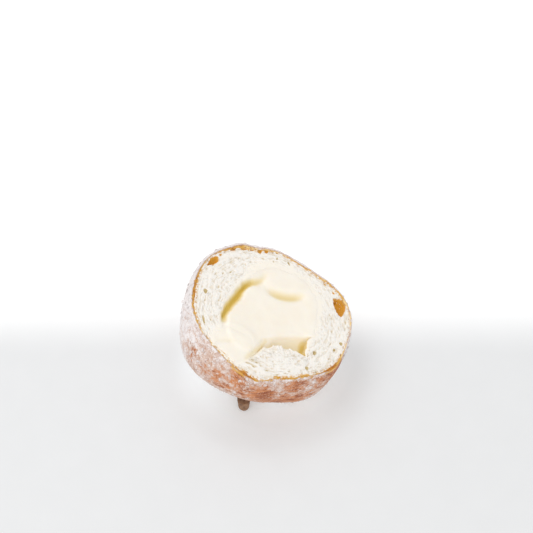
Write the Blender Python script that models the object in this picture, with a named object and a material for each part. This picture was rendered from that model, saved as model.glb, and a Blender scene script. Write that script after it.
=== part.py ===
"""Half of a cream-filled doughnut ball, lying on its rounded underside with the cut face up.

The ball is a rounded dough body with a long lobe to the left, cut a little above its widest
section. The half rests on a small settled flat, tipped to the right and to the front, so the cut
shows the crumb, two air pockets, the hollow and the cream. A short stub of browned dough is
caught under its front edge.

Metres, +Z up. The origin is the middle of the underside of the whole half. Shapes on the cut are
drawn in the cut's own frame: x along the cut to the right, y along it to the back, z out of it.
"""

from math import asin, cos, pi, radians, sin, tau

import bmesh
import bpy
import numpy as np

MM = 0.001

# The cut: its centre above the floor, how far it is tipped, and towards which side.
CUT_CENTRE = (1.72 * MM, 0.81 * MM, 35.7 * MM)
CUT_TILT = radians(24.0)
CUT_LEAN = radians(62.0)  # 0 leans to the front (-Y), 90 to the right (+X)

# The ball below the cut.
RIM_RADIUS = 34.6 * MM
RIM_WAVES = (  # lobes round the rim: how many, how high, and the angle of the first
    (2, 2.5 * MM, -7.0),
    (3, 1.2 * MM, 10.0),
    (4, 0.3 * MM, 0.0),
    (5, 0.3 * MM, 28.0),
    (6, 0.5 * MM, 18.0),
)
CUT_ABOVE_MIDDLE = 7.2 * MM  # from the widest section up to the cut
BALL_DEPTH = 30.0 * MM  # from the widest section down to the pole
BALL_DRIFT = (0.088, -0.114)  # sideways drift of the sections for each metre below the cut
BALL_LOBES = (  # soft swellings: angle round the rim, angle above the widest section, width, rise
    (223.0, -10.0, 28.0, 0.23),
    (235.0, -30.0, 20.0, -0.13),
    (306.0, -30.0, 24.0, 0.09),
)
LOBE_FADE = radians(30.0)  # angle below the cut over which the lobes grow to full height
RIM_BUMPS = (  # small bulges and dips in the outline near the cut: angle, span, rise
    (-35.0, 13.0, 1.1 * MM),
    (-86.0, 7.0, -0.9 * MM),
    (-103.0, 8.0, 0.8 * MM),
    (114.0, 7.0, 0.9 * MM),
    (101.0, 6.0, -0.4 * MM),
)
RIM_BUMP_DEPTH = 8.0 * MM  # they fade out over this depth
SETTLE = 1.2 * MM  # height over which the underside rolls into its flat
BALL_SEGMENTS = 88
BALL_RINGS = 50

# The hollow that the cream fills, about a centre on the cut.
HOLLOW_CENTRE = (0.5 * MM, -0.1 * MM)
HOLLOW_RADIUS = 21.0 * MM
HOLLOW_WAVES = ((2, 2.8 * MM, 41.0), (3, 1.7 * MM, -28.0), (4, 1.2 * MM, -42.0), (5, 0.8 * MM, 24.0))
HOLLOW_BUMPS = (  # the same for the hollow: the crumb stands in at the front
    (-80.0, 27.0, -1.5 * MM),
    (-102.0, 6.0, -2.0 * MM),
    (-31.0, 8.0, -1.9 * MM),
)
HOLLOW_DEPTH = 19.0 * MM
HOLLOW_STEEPNESS = 0.7  # 1 is an elliptic bowl, less has steeper walls
DRUM_STEEPNESS = (0.25, 0.35)  # the same for the drum over the cut, across and up
HOLLOW_SEGMENTS = 56
HOLLOW_RINGS = 18
GAP = 0.3 * MM  # kept between neighbouring pieces

# The top of the cream, measured from the cut.
CREAM_BUILD_HEIGHT = 6.0 * MM  # how far over the cut the cream is built before its top is shaped
CREAM_LEVEL = -0.8 * MM
SHRINK_GAP_DEPTH = 3.2 * MM  # where the cream has drawn back from the crumb, upper left
SHRINK_GAP_FLOOR = 1.1 * MM  # how far from the wall it stays at its deepest
SHRINK_GAP_WIDTH = 2.0 * MM
SHRINK_GAP_MIDDLE = radians(158.0)
SHRINK_GAP_SPAN = radians(44.0)
FOLD_CENTRE = (7.2 * MM, 9.4 * MM)
FOLD_SIZE = (8.6 * MM, 1.8 * MM)
FOLD_DEPTH = 1.5 * MM
SLOPE_BROW = (17.8 * MM, -6.7 * MM)  # right end of the line where the cream starts to fall to the front
SLOPE_RISE = 0.13  # how much that line climbs to the right
SLOPE_BEND = (14.0 * MM, 125.0 * MM)  # x left of which it curves to the front, and how wide
SLOPE_CORNER = (-4.0 * MM, 0.9)  # x left of which it turns to the front, and how steeply
SLOPE_RUN = (5.2 * MM, 0.2, 1.8 * MM, 8.0 * MM)  # length of the fall at x = 0, its growth, limits
SLOPE_STEEP = 0.35  # share of its length over which the brow is rounded
SLOPE_DROP = (1.2 * MM, 2.8 * MM)  # at the left and at the right
SLOPE_SETS_IN = (-6.0 * MM, 6.0 * MM)  # x over which the drop grows from one to the other
TONGUE_CENTRE = (-17.5 * MM, -17.5 * MM)
TONGUE_LENGTH = (8.5 * MM, 9.0 * MM)  # back and forward from its centre
TONGUE_WIDTH = (8.2 * MM, 9.5 * MM)  # to the left and to the right
TONGUE_THICKNESS = 1.2 * MM
TONGUE_REACH = 3.0  # distance past which its own height falls no further, well under the cream
SPREAD_CENTRE = (-7.0 * MM, -8.0 * MM)  # a disc over the cut that holds the tongue
SPREAD_RADIUS = 25.0 * MM
SPREAD_TOP = 4.8 * MM
SCOOP_HALF = 34.0 * MM
SCOOP_CELLS = 46

# Air pockets in the crumb: place on the cut, half sizes, turn about z.
POCKETS = (
    ((32.7 * MM, 9.0 * MM, -0.3 * MM), (2.7 * MM, 4.5 * MM, 4.2 * MM), radians(4.0)),
    ((-26.5 * MM, 20.6 * MM, -0.2 * MM), (1.45 * MM, 3.3 * MM, 2.4 * MM), radians(-44.0)),
)

# The stub under the front edge.
STUB_PLACE = (-10.0 * MM, -22.9 * MM)
STUB_RADII = (2.3 * MM, 2.9 * MM)  # at its foot and at its top
STUB_HEIGHT = 5.8 * MM
STUB_ROUNDING = 0.6 * MM
STUB_SEGMENTS = 20

KNIFE_SIZE = 120.0 * MM
SMOOTH_ANGLE = radians(40.0)
X_AXIS = np.array((1.0, 0.0, 0.0))


def cut_axes():
    """The cut's frame: the two directions along it and the one out of it."""
    out = np.array((sin(CUT_TILT) * sin(CUT_LEAN), -sin(CUT_TILT) * cos(CUT_LEAN), cos(CUT_TILT)))
    right = X_AXIS - (X_AXIS @ out) * out
    right /= np.linalg.norm(right)
    return right, np.cross(out, right), out


def to_world(points):
    """Points in the cut's frame, placed in the part's frame."""
    return np.array(CUT_CENTRE) + points @ np.array(cut_axes())


def waves(angle, terms):
    """A sum of cosine waves round an outline: number of lobes, height, where the first one peaks."""
    return sum(height * np.cos(count * (angle - radians(peak))) for count, height, peak in terms)


def bumps(angle, places):
    """A sum of bells round an outline: the middle of each in degrees, its span, its height."""
    total = 0.0
    for middle, span, height in places:
        away = (np.degrees(angle) - middle + 180.0) % 360.0 - 180.0
        total = total + height * np.exp(-((away / span) ** 2))
    return total


def smooth_step(value):
    """0 below 0, 1 above 1, and a soft S between."""
    t = np.clip(value, 0.0, 1.0)
    return t * t * (3.0 - 2.0 * t)


def settle(height):
    """Flat at the floor below it, unchanged well above it, and a parabola between."""
    roll = (height + SETTLE) ** 2 / (4.0 * SETTLE)
    return np.where(height <= -SETTLE, 0.0, np.where(height < SETTLE, roll, height))


def swelling(points):
    """How far the lobes push each direction outwards, as a factor that is 1 at the cut."""
    rise_sum = np.zeros(len(points))
    for around, up, width, rise in BALL_LOBES:
        turn, lift = radians(around), radians(up)
        middle = np.array((cos(lift) * cos(turn), cos(lift) * sin(turn), sin(lift)))
        away = np.arccos(np.clip(points @ middle, -1.0, 1.0))
        rise_sum += rise * np.exp(-((away / radians(width)) ** 2))
    below = asin(CUT_ABOVE_MIDDLE / BALL_DEPTH) - np.arcsin(np.clip(points[:, 2], -1.0, 1.0))
    grown = np.clip(below / LOBE_FADE, 0.0, 1.0)
    return 1.0 + rise_sum * grown * (2.0 - grown)


def shape_ball(points, grow=0.0):
    """Turns a unit sphere into the doughnut ball: an outline carried down a rounded profile."""
    around = np.arctan2(points[:, 1], points[:, 0])
    up = np.arcsin(np.clip(points[:, 2], -1.0, 1.0))
    profile = np.cos(up).clip(0.0) / cos(asin(CUT_ABOVE_MIDDLE / BALL_DEPTH))
    radius = (RIM_RADIUS + waves(around, RIM_WAVES)) * profile * swelling(points)
    radius += grow * np.cos(up)
    height = (BALL_DEPTH + grow) * np.sin(up) - CUT_ABOVE_MIDDLE
    radius += bumps(around, RIM_BUMPS) * np.exp(-((height / RIM_BUMP_DEPTH) ** 2))
    x = radius * np.cos(around) - BALL_DRIFT[0] * height
    y = radius * np.sin(around) - BALL_DRIFT[1] * height
    world = to_world(np.stack((x, y, height), axis=1))
    world[:, 2] = settle(world[:, 2])
    return world


def hollow_outline(angle):
    """Radius of the hollow at an angle about its centre."""
    return HOLLOW_RADIUS + waves(angle, HOLLOW_WAVES) + bumps(angle, HOLLOW_BUMPS)


def shape_hollow(points, inset=0.0):
    """Turns a unit sphere into the hollow: a bowl with steep walls below the cut, a drum above it."""
    around = np.arctan2(points[:, 1], points[:, 0])
    up = np.arcsin(np.clip(points[:, 2], -1.0, 1.0))
    across = np.cos(up).clip(0.0)
    below = up < 0.0
    spread = np.where(below, across**HOLLOW_STEEPNESS, across ** DRUM_STEEPNESS[0])
    drum = CREAM_BUILD_HEIGHT * np.sin(up).clip(0.0) ** DRUM_STEEPNESS[1]
    height = np.where(below, (HOLLOW_DEPTH - inset) * np.sin(up), drum)
    radius = (hollow_outline(around) - inset) * spread
    x = HOLLOW_CENTRE[0] + radius * np.cos(around)
    y = HOLLOW_CENTRE[1] + radius * np.sin(around)
    return to_world(np.stack((x, y, height), axis=1))


def tongue_distance(x, y):
    """0 at the middle of the smeared tongue of cream, 1 at its edge."""
    forward, right = TONGUE_CENTRE[1] - y, x - TONGUE_CENTRE[0]
    length = TONGUE_LENGTH[0] if forward < 0.0 else TONGUE_LENGTH[1]
    width = TONGUE_WIDTH[0] if right < 0.0 else TONGUE_WIDTH[1]
    return np.hypot(forward / length, right / width)


def front_fall(x, y):
    """0 on the level cream, 1 at the foot of its front slope: a crisp brow, then a hollow curve."""
    brow = SLOPE_BROW[1] - SLOPE_RISE * (SLOPE_BROW[0] - x)
    brow -= max(SLOPE_BEND[0] - x, 0.0) ** 2 / SLOPE_BEND[1]
    brow -= SLOPE_CORNER[1] * max(SLOPE_CORNER[0] - x, 0.0)
    run = np.clip(SLOPE_RUN[0] + SLOPE_RUN[1] * x, SLOPE_RUN[2], SLOPE_RUN[3])
    t = np.clip((brow - y) / run, 0.0, 1.0)
    return (1.0 - (1.0 - t) ** 2) * smooth_step(t / SLOPE_STEEP)


def cream_height(x, y):
    """Height of the cream's top over the cut: a level with a shrink gap, a fold, a slope, a tongue."""
    dx, dy = x - HOLLOW_CENTRE[0], y - HOLLOW_CENTRE[1]
    angle = np.arctan2(dy, dx)
    from_wall = (hollow_outline(angle) - np.hypot(dx, dy) - SHRINK_GAP_FLOOR).clip(0.0)
    away = (angle - SHRINK_GAP_MIDDLE + pi) % tau - pi
    beside = np.exp(-((away / SHRINK_GAP_SPAN) ** 4))
    gap = SHRINK_GAP_DEPTH * beside * np.exp(-((from_wall / SHRINK_GAP_WIDTH) ** 2))

    fold_x = (x - FOLD_CENTRE[0]) / FOLD_SIZE[0]
    fold_y = (y - FOLD_CENTRE[1]) / FOLD_SIZE[1]
    fold = FOLD_DEPTH * np.exp(-(fold_x**4) - fold_y**2)

    grown = smooth_step((x - SLOPE_SETS_IN[0]) / (SLOPE_SETS_IN[1] - SLOPE_SETS_IN[0]))
    drop = SLOPE_DROP[0] + (SLOPE_DROP[1] - SLOPE_DROP[0]) * grown
    level = CREAM_LEVEL - gap - fold - drop * front_fall(x, y)
    tongue = TONGUE_THICKNESS * (1.0 - np.minimum(tongue_distance(x, y), TONGUE_REACH) ** 4)
    return np.maximum(level, tongue)


def new_mesh(name, fill):
    """A mesh made by a function that fills a bmesh."""
    mesh = bpy.data.meshes.new(name)
    bm = bmesh.new()
    fill(bm)
    bm.to_mesh(mesh)
    bm.free()
    return mesh


def new_object(name, fill, shape, collection):
    """An object made by a bmesh function, its points then moved by a shape function."""
    mesh = new_mesh(name, fill)
    points = np.empty(len(mesh.vertices) * 3)
    mesh.vertices.foreach_get("co", points)
    mesh.vertices.foreach_set("co", shape(points.reshape(-1, 3)).ravel())
    mesh.update()
    obj = bpy.data.objects.new(name, mesh)
    collection.objects.link(obj)
    return obj


def new_cutter(name, fill, shape, collection):
    """A helper that cuts or joins: it is not part of the model."""
    obj = new_object(name, fill, shape, collection)
    obj.hide_render = True
    obj.display_type = "WIRE"
    return obj


def sphere(segments, rings):
    """Fills a bmesh with a unit sphere."""
    return lambda bm: bmesh.ops.create_uvsphere(bm, u_segments=segments, v_segments=rings, radius=1.0)


def boolean(obj, other, operation):
    modifier = obj.modifiers.new(f"{operation.lower()}_{other.name}", "BOOLEAN")
    modifier.operation = operation
    modifier.solver = "EXACT"
    modifier.object = other


def make_knife(collection):
    """A block whose lower face is the cut."""

    def fill(bm):
        bmesh.ops.create_cube(bm, size=KNIFE_SIZE)
        bmesh.ops.translate(bm, verts=bm.verts[:], vec=(0.0, 0.0, KNIFE_SIZE / 2))

    return new_cutter("knife", fill, to_world, collection)


def make_pocket(name, place, half_sizes, turn, collection):
    """An egg-shaped air pocket, open at the cut."""

    def shape(points):
        x, y, z = (points * half_sizes).T
        turned = (x * cos(turn) - y * sin(turn), x * sin(turn) + y * cos(turn), z)
        return to_world(np.stack(turned, axis=1) + place)

    return new_cutter(name, sphere(16, 10), shape, collection)


def make_spread(collection):
    """A disc just over the cut, of which the scoop leaves only the smeared tongue."""

    def fill(bm):
        height = SPREAD_TOP - GAP
        bmesh.ops.create_cone(
            bm, cap_ends=True, segments=48, radius1=SPREAD_RADIUS, radius2=SPREAD_RADIUS, depth=height
        )
        bmesh.ops.translate(bm, verts=bm.verts[:], vec=(*SPREAD_CENTRE, GAP + height / 2))

    return new_cutter("spread", fill, to_world, collection)


def make_scoop(collection):
    """A slab over the cream whose underside is the cream's top."""

    def fill(bm):
        bmesh.ops.create_grid(bm, x_segments=SCOOP_CELLS, y_segments=SCOOP_CELLS, size=SCOOP_HALF)
        for vert in bm.verts:
            vert.co.z = cream_height(vert.co.x, vert.co.y)
        raised = bmesh.ops.extrude_face_region(bm, geom=bm.faces[:])["geom"]
        for vert in (item for item in raised if isinstance(item, bmesh.types.BMVert)):
            vert.co.z = 2.0 * CREAM_BUILD_HEIGHT
        bmesh.ops.recalc_face_normals(bm, faces=bm.faces[:])

    return new_cutter("scoop", fill, to_world, collection)


def make_dough(parts, cutters):
    """The ball, cut by the knife, with the cream's hollow and the air pockets taken out."""
    dough = new_object("dough", sphere(BALL_SEGMENTS, BALL_RINGS), shape_ball, parts)
    boolean(dough, make_knife(cutters), "DIFFERENCE")
    bowl = sphere(HOLLOW_SEGMENTS, HOLLOW_RINGS)
    boolean(dough, new_cutter("hollow", bowl, shape_hollow, cutters), "DIFFERENCE")
    for index, (place, half_sizes, turn) in enumerate(POCKETS, start=1):
        pocket = make_pocket(f"pocket_{index}", place, half_sizes, turn, cutters)
        boolean(dough, pocket, "DIFFERENCE")
    return dough


def make_cream(parts, cutters):
    """The hollow's shape less the gap, with the spread joined on and the top scooped out."""

    def shape(points):
        return shape_hollow(points, inset=GAP)

    cream = new_object("cream", sphere(HOLLOW_SEGMENTS, HOLLOW_RINGS), shape, parts)
    boolean(cream, make_spread(cutters), "UNION")
    boolean(cream, make_scoop(cutters), "DIFFERENCE")
    return cream


def make_stub(parts, cutters):
    """A short taper standing under the front edge, trimmed to the ball's underside."""

    def fill(bm):
        foot, top = STUB_RADII
        bmesh.ops.create_cone(
            bm, cap_ends=True, segments=STUB_SEGMENTS, radius1=foot, radius2=top, depth=STUB_HEIGHT
        )
        rim = [edge for edge in bm.edges if all(vert.co.z < 0.0 for vert in edge.verts)]
        bmesh.ops.bevel(bm, geom=rim, offset=STUB_ROUNDING, segments=3, affect="EDGES", profile=0.5)
        bmesh.ops.translate(bm, verts=bm.verts[:], vec=(*STUB_PLACE, STUB_HEIGHT / 2))

    def grown_ball(points):
        return shape_ball(points, grow=GAP)

    stub = new_object("stub", fill, lambda points: points, parts)
    ball = new_cutter("ball_and_gap", sphere(BALL_SEGMENTS, BALL_RINGS), grown_ball, cutters)
    boolean(stub, ball, "DIFFERENCE")
    return stub


def finish(obj, colour, roughness):
    """Smooth shading and the piece's own material."""
    material = bpy.data.materials.new(obj.name)
    material.use_nodes = True
    shader = material.node_tree.nodes["Principled BSDF"]
    shader.inputs["Base Color"].default_value = (*colour, 1.0)
    shader.inputs["Roughness"].default_value = roughness
    shader.inputs["Metallic"].default_value = 0.0
    obj.data.materials.append(material)
    obj.data.shade_smooth()
    obj.data.set_sharp_from_angle(angle=SMOOTH_ANGLE)


def main():
    for obj in list(bpy.data.objects):
        bpy.data.objects.remove(obj, do_unlink=True)
    parts = bpy.data.collections.new("filled_doughnut_ball")
    cutters = bpy.data.collections.new("cutters")
    cutters.hide_render = True
    bpy.context.scene.collection.children.link(parts)
    bpy.context.scene.collection.children.link(cutters)
    finish(make_dough(parts, cutters), (0.62, 0.36, 0.19), 0.7)
    finish(make_cream(parts, cutters), (0.93, 0.85, 0.68), 0.35)
    finish(make_stub(parts, cutters), (0.30, 0.20, 0.13), 0.8)


main()
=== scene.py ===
# %% [markdown]
# # A filled doughnut ball, cut in half
#
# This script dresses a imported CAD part: half of a doughnut ball with its cut face up, a hollow
# full of cream, a thin browned crust and a shell of dried sugar glaze.
# Every piece is a surface worked out with numpy in millimetres. Most are drawn in the frame of
# the cut and then turned into the part's own frame. The CAD solids stay as they are for
# collision, and the pieces made here stand for them in the picture.

from itertools import combinations
from math import asin, cos, pi, radians, sin, tau

import bpy
import numpy as np
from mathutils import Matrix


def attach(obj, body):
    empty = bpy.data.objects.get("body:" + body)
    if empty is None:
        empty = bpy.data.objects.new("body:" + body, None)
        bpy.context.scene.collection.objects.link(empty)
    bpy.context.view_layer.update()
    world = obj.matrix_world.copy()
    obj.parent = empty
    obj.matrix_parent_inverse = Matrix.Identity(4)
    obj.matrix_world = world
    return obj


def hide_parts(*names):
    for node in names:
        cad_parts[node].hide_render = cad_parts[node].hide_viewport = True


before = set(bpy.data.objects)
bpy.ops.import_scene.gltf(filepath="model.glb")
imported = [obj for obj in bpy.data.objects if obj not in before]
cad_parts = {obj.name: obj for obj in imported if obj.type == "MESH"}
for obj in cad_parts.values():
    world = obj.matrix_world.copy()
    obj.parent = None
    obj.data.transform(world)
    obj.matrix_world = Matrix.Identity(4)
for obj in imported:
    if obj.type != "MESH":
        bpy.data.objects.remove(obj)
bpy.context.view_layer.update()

# %% [markdown]
# ## The frame of the cut
#
# The half lies tipped, so its cut is a plane that leans to the right and to the front. It is much
# easier to draw the crumb, the hollow and the cream as heights over that plane than over the
# floor. The three directions here repeat the CAD's: to the right along the cut, to the back along
# it, and out of it.

# %% Cut frame
CUT_CENTRE = np.array((1.72, 0.81, 35.7))
CUT_TILT = radians(24.0)
CUT_LEAN = radians(62.0)
MM = 0.001

CUT_OUT = np.array((sin(CUT_TILT) * sin(CUT_LEAN), -sin(CUT_TILT) * cos(CUT_LEAN), cos(CUT_TILT)))
CUT_RIGHT = np.array((1.0, 0.0, 0.0)) - CUT_OUT[0] * CUT_OUT
CUT_RIGHT /= np.linalg.norm(CUT_RIGHT)
CUT_BACK = np.cross(CUT_OUT, CUT_RIGHT)


def to_world(x, y, z):
    """Millimetres in the cut's frame, as points in the part's frame: the centre plus x, y and z
    times the frame's three directions."""
    x, y, z = (np.asarray(value, float)[..., None] for value in (x, y, z))
    return CUT_CENTRE + x * CUT_RIGHT + y * CUT_BACK + z * CUT_OUT


print("The cut leans", round(np.degrees(CUT_TILT)), "degrees")

# %% [markdown]
# ## Soft steps and repeatable noise
#
# Bread and sugar are irregular at every size, so the shapes need noise. Blender's own noise could
# be read point by point, but a whole array at a time is far quicker, so two kinds are written
# here. The first is a soft landscape between random heights on a lattice. The second measures the
# distance to scattered points, which gives bubbles and cracked plates. A hash of the lattice
# place makes the numbers, so every run gives the same piece.
# Through the whole script a landscape is written as four numbers: its height, its size in
# millimetres, its seed and its octaves.

# %% Soft steps
HASH_PRIMES = (374761393, 668265263, 1103515245)
HASH_STIR = 1274126177
LOW_32_BITS, LOW_24_BITS = 0xFFFFFFFF, 0xFFFFFF


def step(value):
    """0 below 0, 1 above 1, and a soft S between: 3 t squared minus 2 t cubed."""
    t = np.clip(value, 0.0, 1.0)
    return t * t * (3.0 - 2.0 * t)


def bell(value):
    """1 at 0, falling to 0 on both sides: e to the minus value squared."""
    return np.exp(-(value**2))


print("Half way up a soft step:", float(step(0.5)))


# %% Noise
def hashed(lattice, seed):
    """A repeatable number from 0 to 1 for each lattice place: its whole coordinates times large
    primes, then twice laid over itself shifted and multiplied again."""
    axes = range(lattice.shape[-1])
    mixed = seed * HASH_STIR + sum(lattice[..., axis] * HASH_PRIMES[axis] for axis in axes)
    mixed = mixed & LOW_32_BITS
    mixed = ((mixed ^ (mixed >> 13)) * HASH_STIR) & LOW_32_BITS
    mixed = ((mixed ^ (mixed >> 15)) * HASH_PRIMES[1]) & LOW_32_BITS
    return ((mixed ^ (mixed >> 16)) & LOW_24_BITS) / LOW_24_BITS


def clouds(points, landscape):
    """A soft landscape up to its height over and under 0: random heights at the corners of cells
    of its size, joined with soft steps. Each further octave is half as large and half as high."""
    height, size, seed, octaves = landscape
    total, weight, whole = 0.0, 1.0, 0.0
    for octave in range(octaves):
        scaled = points / (size / 2**octave)
        low = np.floor(scaled).astype(np.int64)
        part = step(scaled - low)
        for corner in np.ndindex((2,) * points.shape[-1]):
            share = np.prod(np.where(corner, part, 1.0 - part), axis=-1)
            total = total + weight * share * (2.0 * hashed(low + np.array(corner), seed + octave) - 1.0)
        whole += weight
        weight /= 2.0
    return height * (total / whole)


def scattered(points, size, seed):
    """The distance to the nearest of a set of scattered points and to the second nearest, in cell
    sizes, and a random number that belongs to the nearest. Each cell of the lattice holds one."""
    scaled = points / size
    low = np.floor(scaled).astype(np.int64)
    nearest = np.full(points.shape[:-1], np.inf)
    second, mark = nearest.copy(), nearest.copy()
    for offset in np.ndindex((3,) * points.shape[-1]):
        cell = low + np.array(offset) - 1
        inside = [hashed(cell, seed + axis) for axis in range(points.shape[-1])]
        away = np.linalg.norm(cell + np.stack(inside, axis=-1) - scaled, axis=-1)
        second = np.minimum(second, np.maximum(nearest, away))
        mark = np.where(away < nearest, hashed(cell, seed + 7), mark)
        nearest = np.minimum(nearest, away)
    return nearest, second, mark


print("Noise at a test point:", clouds(np.array([[3.3, 1.2]]), (1.0, 2.0, 1, 1)).round(3))

# %% [markdown]
# ## A closed piece from rings
#
# Every large piece of this object is like an onion skin: rings of points, one inside or below the
# other, that close at two poles. One helper joins any such set of rings to a mesh. It takes an
# array of rows, columns and coordinates, closes each row on itself so there is no open seam, and
# closes each end with a fan to one point. Numbers for each point, such as how toasted it is, ride
# along as attributes that the materials read.


# %% Ring piece helpers
def new_piece(name, points, faces, values, node):
    """A smooth mesh of points in millimetres, that stands for a CAD node and rides on the root."""
    mesh = bpy.data.meshes.new(name)
    mesh.from_pydata((points * MM).tolist(), [], faces)
    for attribute, numbers in values.items():
        layer = mesh.attributes.new(attribute, "FLOAT", "POINT")
        layer.data.foreach_set("value", np.asarray(numbers, np.float32).ravel())
    mesh.shade_smooth()
    piece = bpy.data.objects.new(name, mesh)
    bpy.context.scene.collection.objects.link(piece)
    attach(piece, "root")
    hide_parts(node)
    mesh.calc_loop_triangles()
    triangles, heights = len(mesh.loop_triangles), points[:, 2]
    print(f"{name}: {triangles} triangles, from z {heights.min():.2f} to {heights.max():.2f} mm")
    return piece


def ring_quads(rows, columns):
    """Four-sided faces between rings of points that follow each other, each ring closed."""
    row, column = np.meshgrid(np.arange(rows - 1), np.arange(columns), indexing="ij")
    here = (row * columns + column).ravel()
    beside = (row * columns + (column + 1) % columns).ravel()
    return np.stack((here, here + columns, beside + columns, beside), axis=1).tolist()


def ring_piece(name, rings, values, node):
    """Joins rings (rows, columns, 3) row to row, and closes the first and the last with a fan.
    Rows that go down the outside, with columns turning to the left, give faces that look out."""
    rows, columns = rings.shape[:2]
    first = np.arange(columns)
    turned = np.roll(first, -1)
    last = (rows - 1) * columns
    opening = np.stack((np.full(columns, rows * columns), first, turned), axis=1)
    closing = np.stack((np.full(columns, rows * columns + 1), turned + last, first + last), axis=1)
    faces = ring_quads(rows, columns) + opening.tolist() + closing.tolist()
    points = np.concatenate((rings.reshape(-1, 3), rings[0].mean(0)[None], rings[-1].mean(0)[None]))
    poled = {
        key: np.concatenate((grid.ravel(), (grid[0].mean(), grid[-1].mean())))
        for key, grid in values.items()
    }
    return new_piece(name, points, faces, poled, node)


def turn(columns):
    """Angles round the cut's centre, one for each column, without a double at the seam."""
    return np.linspace(-pi, pi, columns, endpoint=False)


def rays(around):
    """Directions over the cut, of length 1, for angles round its centre: cosine and sine."""
    return np.stack((np.cos(around), np.sin(around)), axis=-1)


def all_rows(columns, *parts):
    """The numbers for all rows of a piece, part after part. A part is a grid, a single column, or
    a pair that says how many rows share which number."""
    grids = [np.full((part[0], 1), part[1]) if isinstance(part, tuple) else part for part in parts]
    return np.concatenate([np.broadcast_to(grid, (len(grid), columns)) for grid in grids])


print("A ring of four columns:", np.degrees(turn(4)))

# %% [markdown]
# ## The ball
#
# The crust and the glaze follow the same ball as the CAD. It is an outline with soft lobes,
# carried down a rounded profile, with broad swellings for the sagging front and the heel. The
# underside rolls into a flat, because a soft ball settles on what it lies on. A skin of any
# thickness is the same ball grown or shrunk, and it gets a flat a little above the floor.

# %% Ball measures
RIM_RADIUS = 34.6
RIM_WAVES = ((2, 2.5, -7.0), (3, 1.2, 10.0), (4, 0.3, 0.0), (5, 0.3, 28.0), (6, 0.5, 18.0))
RIM_BUMPS = (  # angle, span, rise
    (-35.0, 13.0, 1.1),
    (-86.0, 7.0, -0.9),
    (-103.0, 8.0, 0.8),
    (114.0, 7.0, 0.9),
    (101.0, 6.0, -0.4),
)
RIM_BUMP_DEPTH = 8.0
CUT_ABOVE_MIDDLE = 7.2
BALL_DEPTH = 30.0
BALL_DRIFT = (0.088, -0.114)
BALL_LOBES = (  # angle round, angle up, width, share that the radius grows
    (223.0, -10.0, 28.0, 0.23),
    (235.0, -30.0, 20.0, -0.13),
    (306.0, -30.0, 24.0, 0.09),
)
LOBE_FADE = radians(30.0)
SETTLE = 1.2
CUT_UP = asin(CUT_ABOVE_MIDDLE / BALL_DEPTH)


def outline(around, middle, terms):
    """A radius for each angle: a middle radius plus cosine waves of given number, height, peak."""
    waves = (height * np.cos(count * (around - radians(peak))) for count, height, peak in terms)
    return middle + sum(waves)


def degrees_off(around, middle):
    """How far angles lie from a middle angle, in degrees from -180 to 180."""
    return (np.degrees(around) - middle + 180.0) % 360.0 - 180.0


def bells_round(around, places):
    """A sum of bells round the ball, from the angle of each in degrees, its span and its height."""
    return sum(height * bell(degrees_off(around, middle) / span) for middle, span, height in places)


print("Rim radius before its bumps:", outline(turn(8), RIM_RADIUS, RIM_WAVES).round(1), "mm")


# %% Ball surface
def swelling(around, up):
    """A factor on the radius: 1 plus a bell for each lobe, fading in below the cut."""
    outward = np.stack((np.cos(up) * np.cos(around), np.cos(up) * np.sin(around), np.sin(up)), axis=-1)
    growth = 0.0
    for lobe_around, lobe_up, width, rise in BALL_LOBES:
        turned, lift = radians(lobe_around), radians(lobe_up)
        middle = np.array((cos(lift) * cos(turned), cos(lift) * sin(turned), sin(lift)))
        away = np.arccos(np.clip(outward @ middle, -1.0, 1.0))
        growth = growth + rise * bell(away / radians(width))
    fade = np.clip((CUT_UP - up) / LOBE_FADE, 0.0, 1.0)
    return 1.0 + growth * fade * (2.0 - fade)


def ball(around, up, grow=0.0, floor=0.0):
    """The ball's skin in the part's frame: the outline times the cosine of the angle up, grown
    outwards, then pressed into a flat at the floor height by a parabola."""
    around, up = np.broadcast_arrays(around, up)
    radius = outline(around, RIM_RADIUS, RIM_WAVES) * np.cos(up).clip(0.0) / cos(CUT_UP)
    radius = radius * swelling(around, up) + grow * np.cos(up)
    height = (BALL_DEPTH + grow) * np.sin(up) - CUT_ABOVE_MIDDLE
    radius = radius + bells_round(around, RIM_BUMPS) * bell(height / RIM_BUMP_DEPTH)
    x = radius * np.cos(around) - BALL_DRIFT[0] * height
    y = radius * np.sin(around) - BALL_DRIFT[1] * height
    world = to_world(x, y, height)
    over = world[..., 2] - floor
    rolled = np.where(over < SETTLE, (over + SETTLE) ** 2 / (4.0 * SETTLE), over)
    world[..., 2] = floor + np.where(over <= -SETTLE, 0.0, rolled)
    return world


def up_at(height, grow=0.0):
    """The angle up at which a skin reaches a height over the cut."""
    return np.arcsin((CUT_ABOVE_MIDDLE + height) / (BALL_DEPTH + grow))


def rim_radius(around, grow):
    """Where a skin meets the cut: its radius at height 0."""
    up = up_at(0.0, grow)
    radius = outline(around, RIM_RADIUS, RIM_WAVES) * np.cos(up) / cos(CUT_UP) + grow * np.cos(up)
    return radius + bells_round(around, RIM_BUMPS)


print("Ball radius at the cut:", rim_radius(turn(8), 0.0).round(1), "mm")
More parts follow.
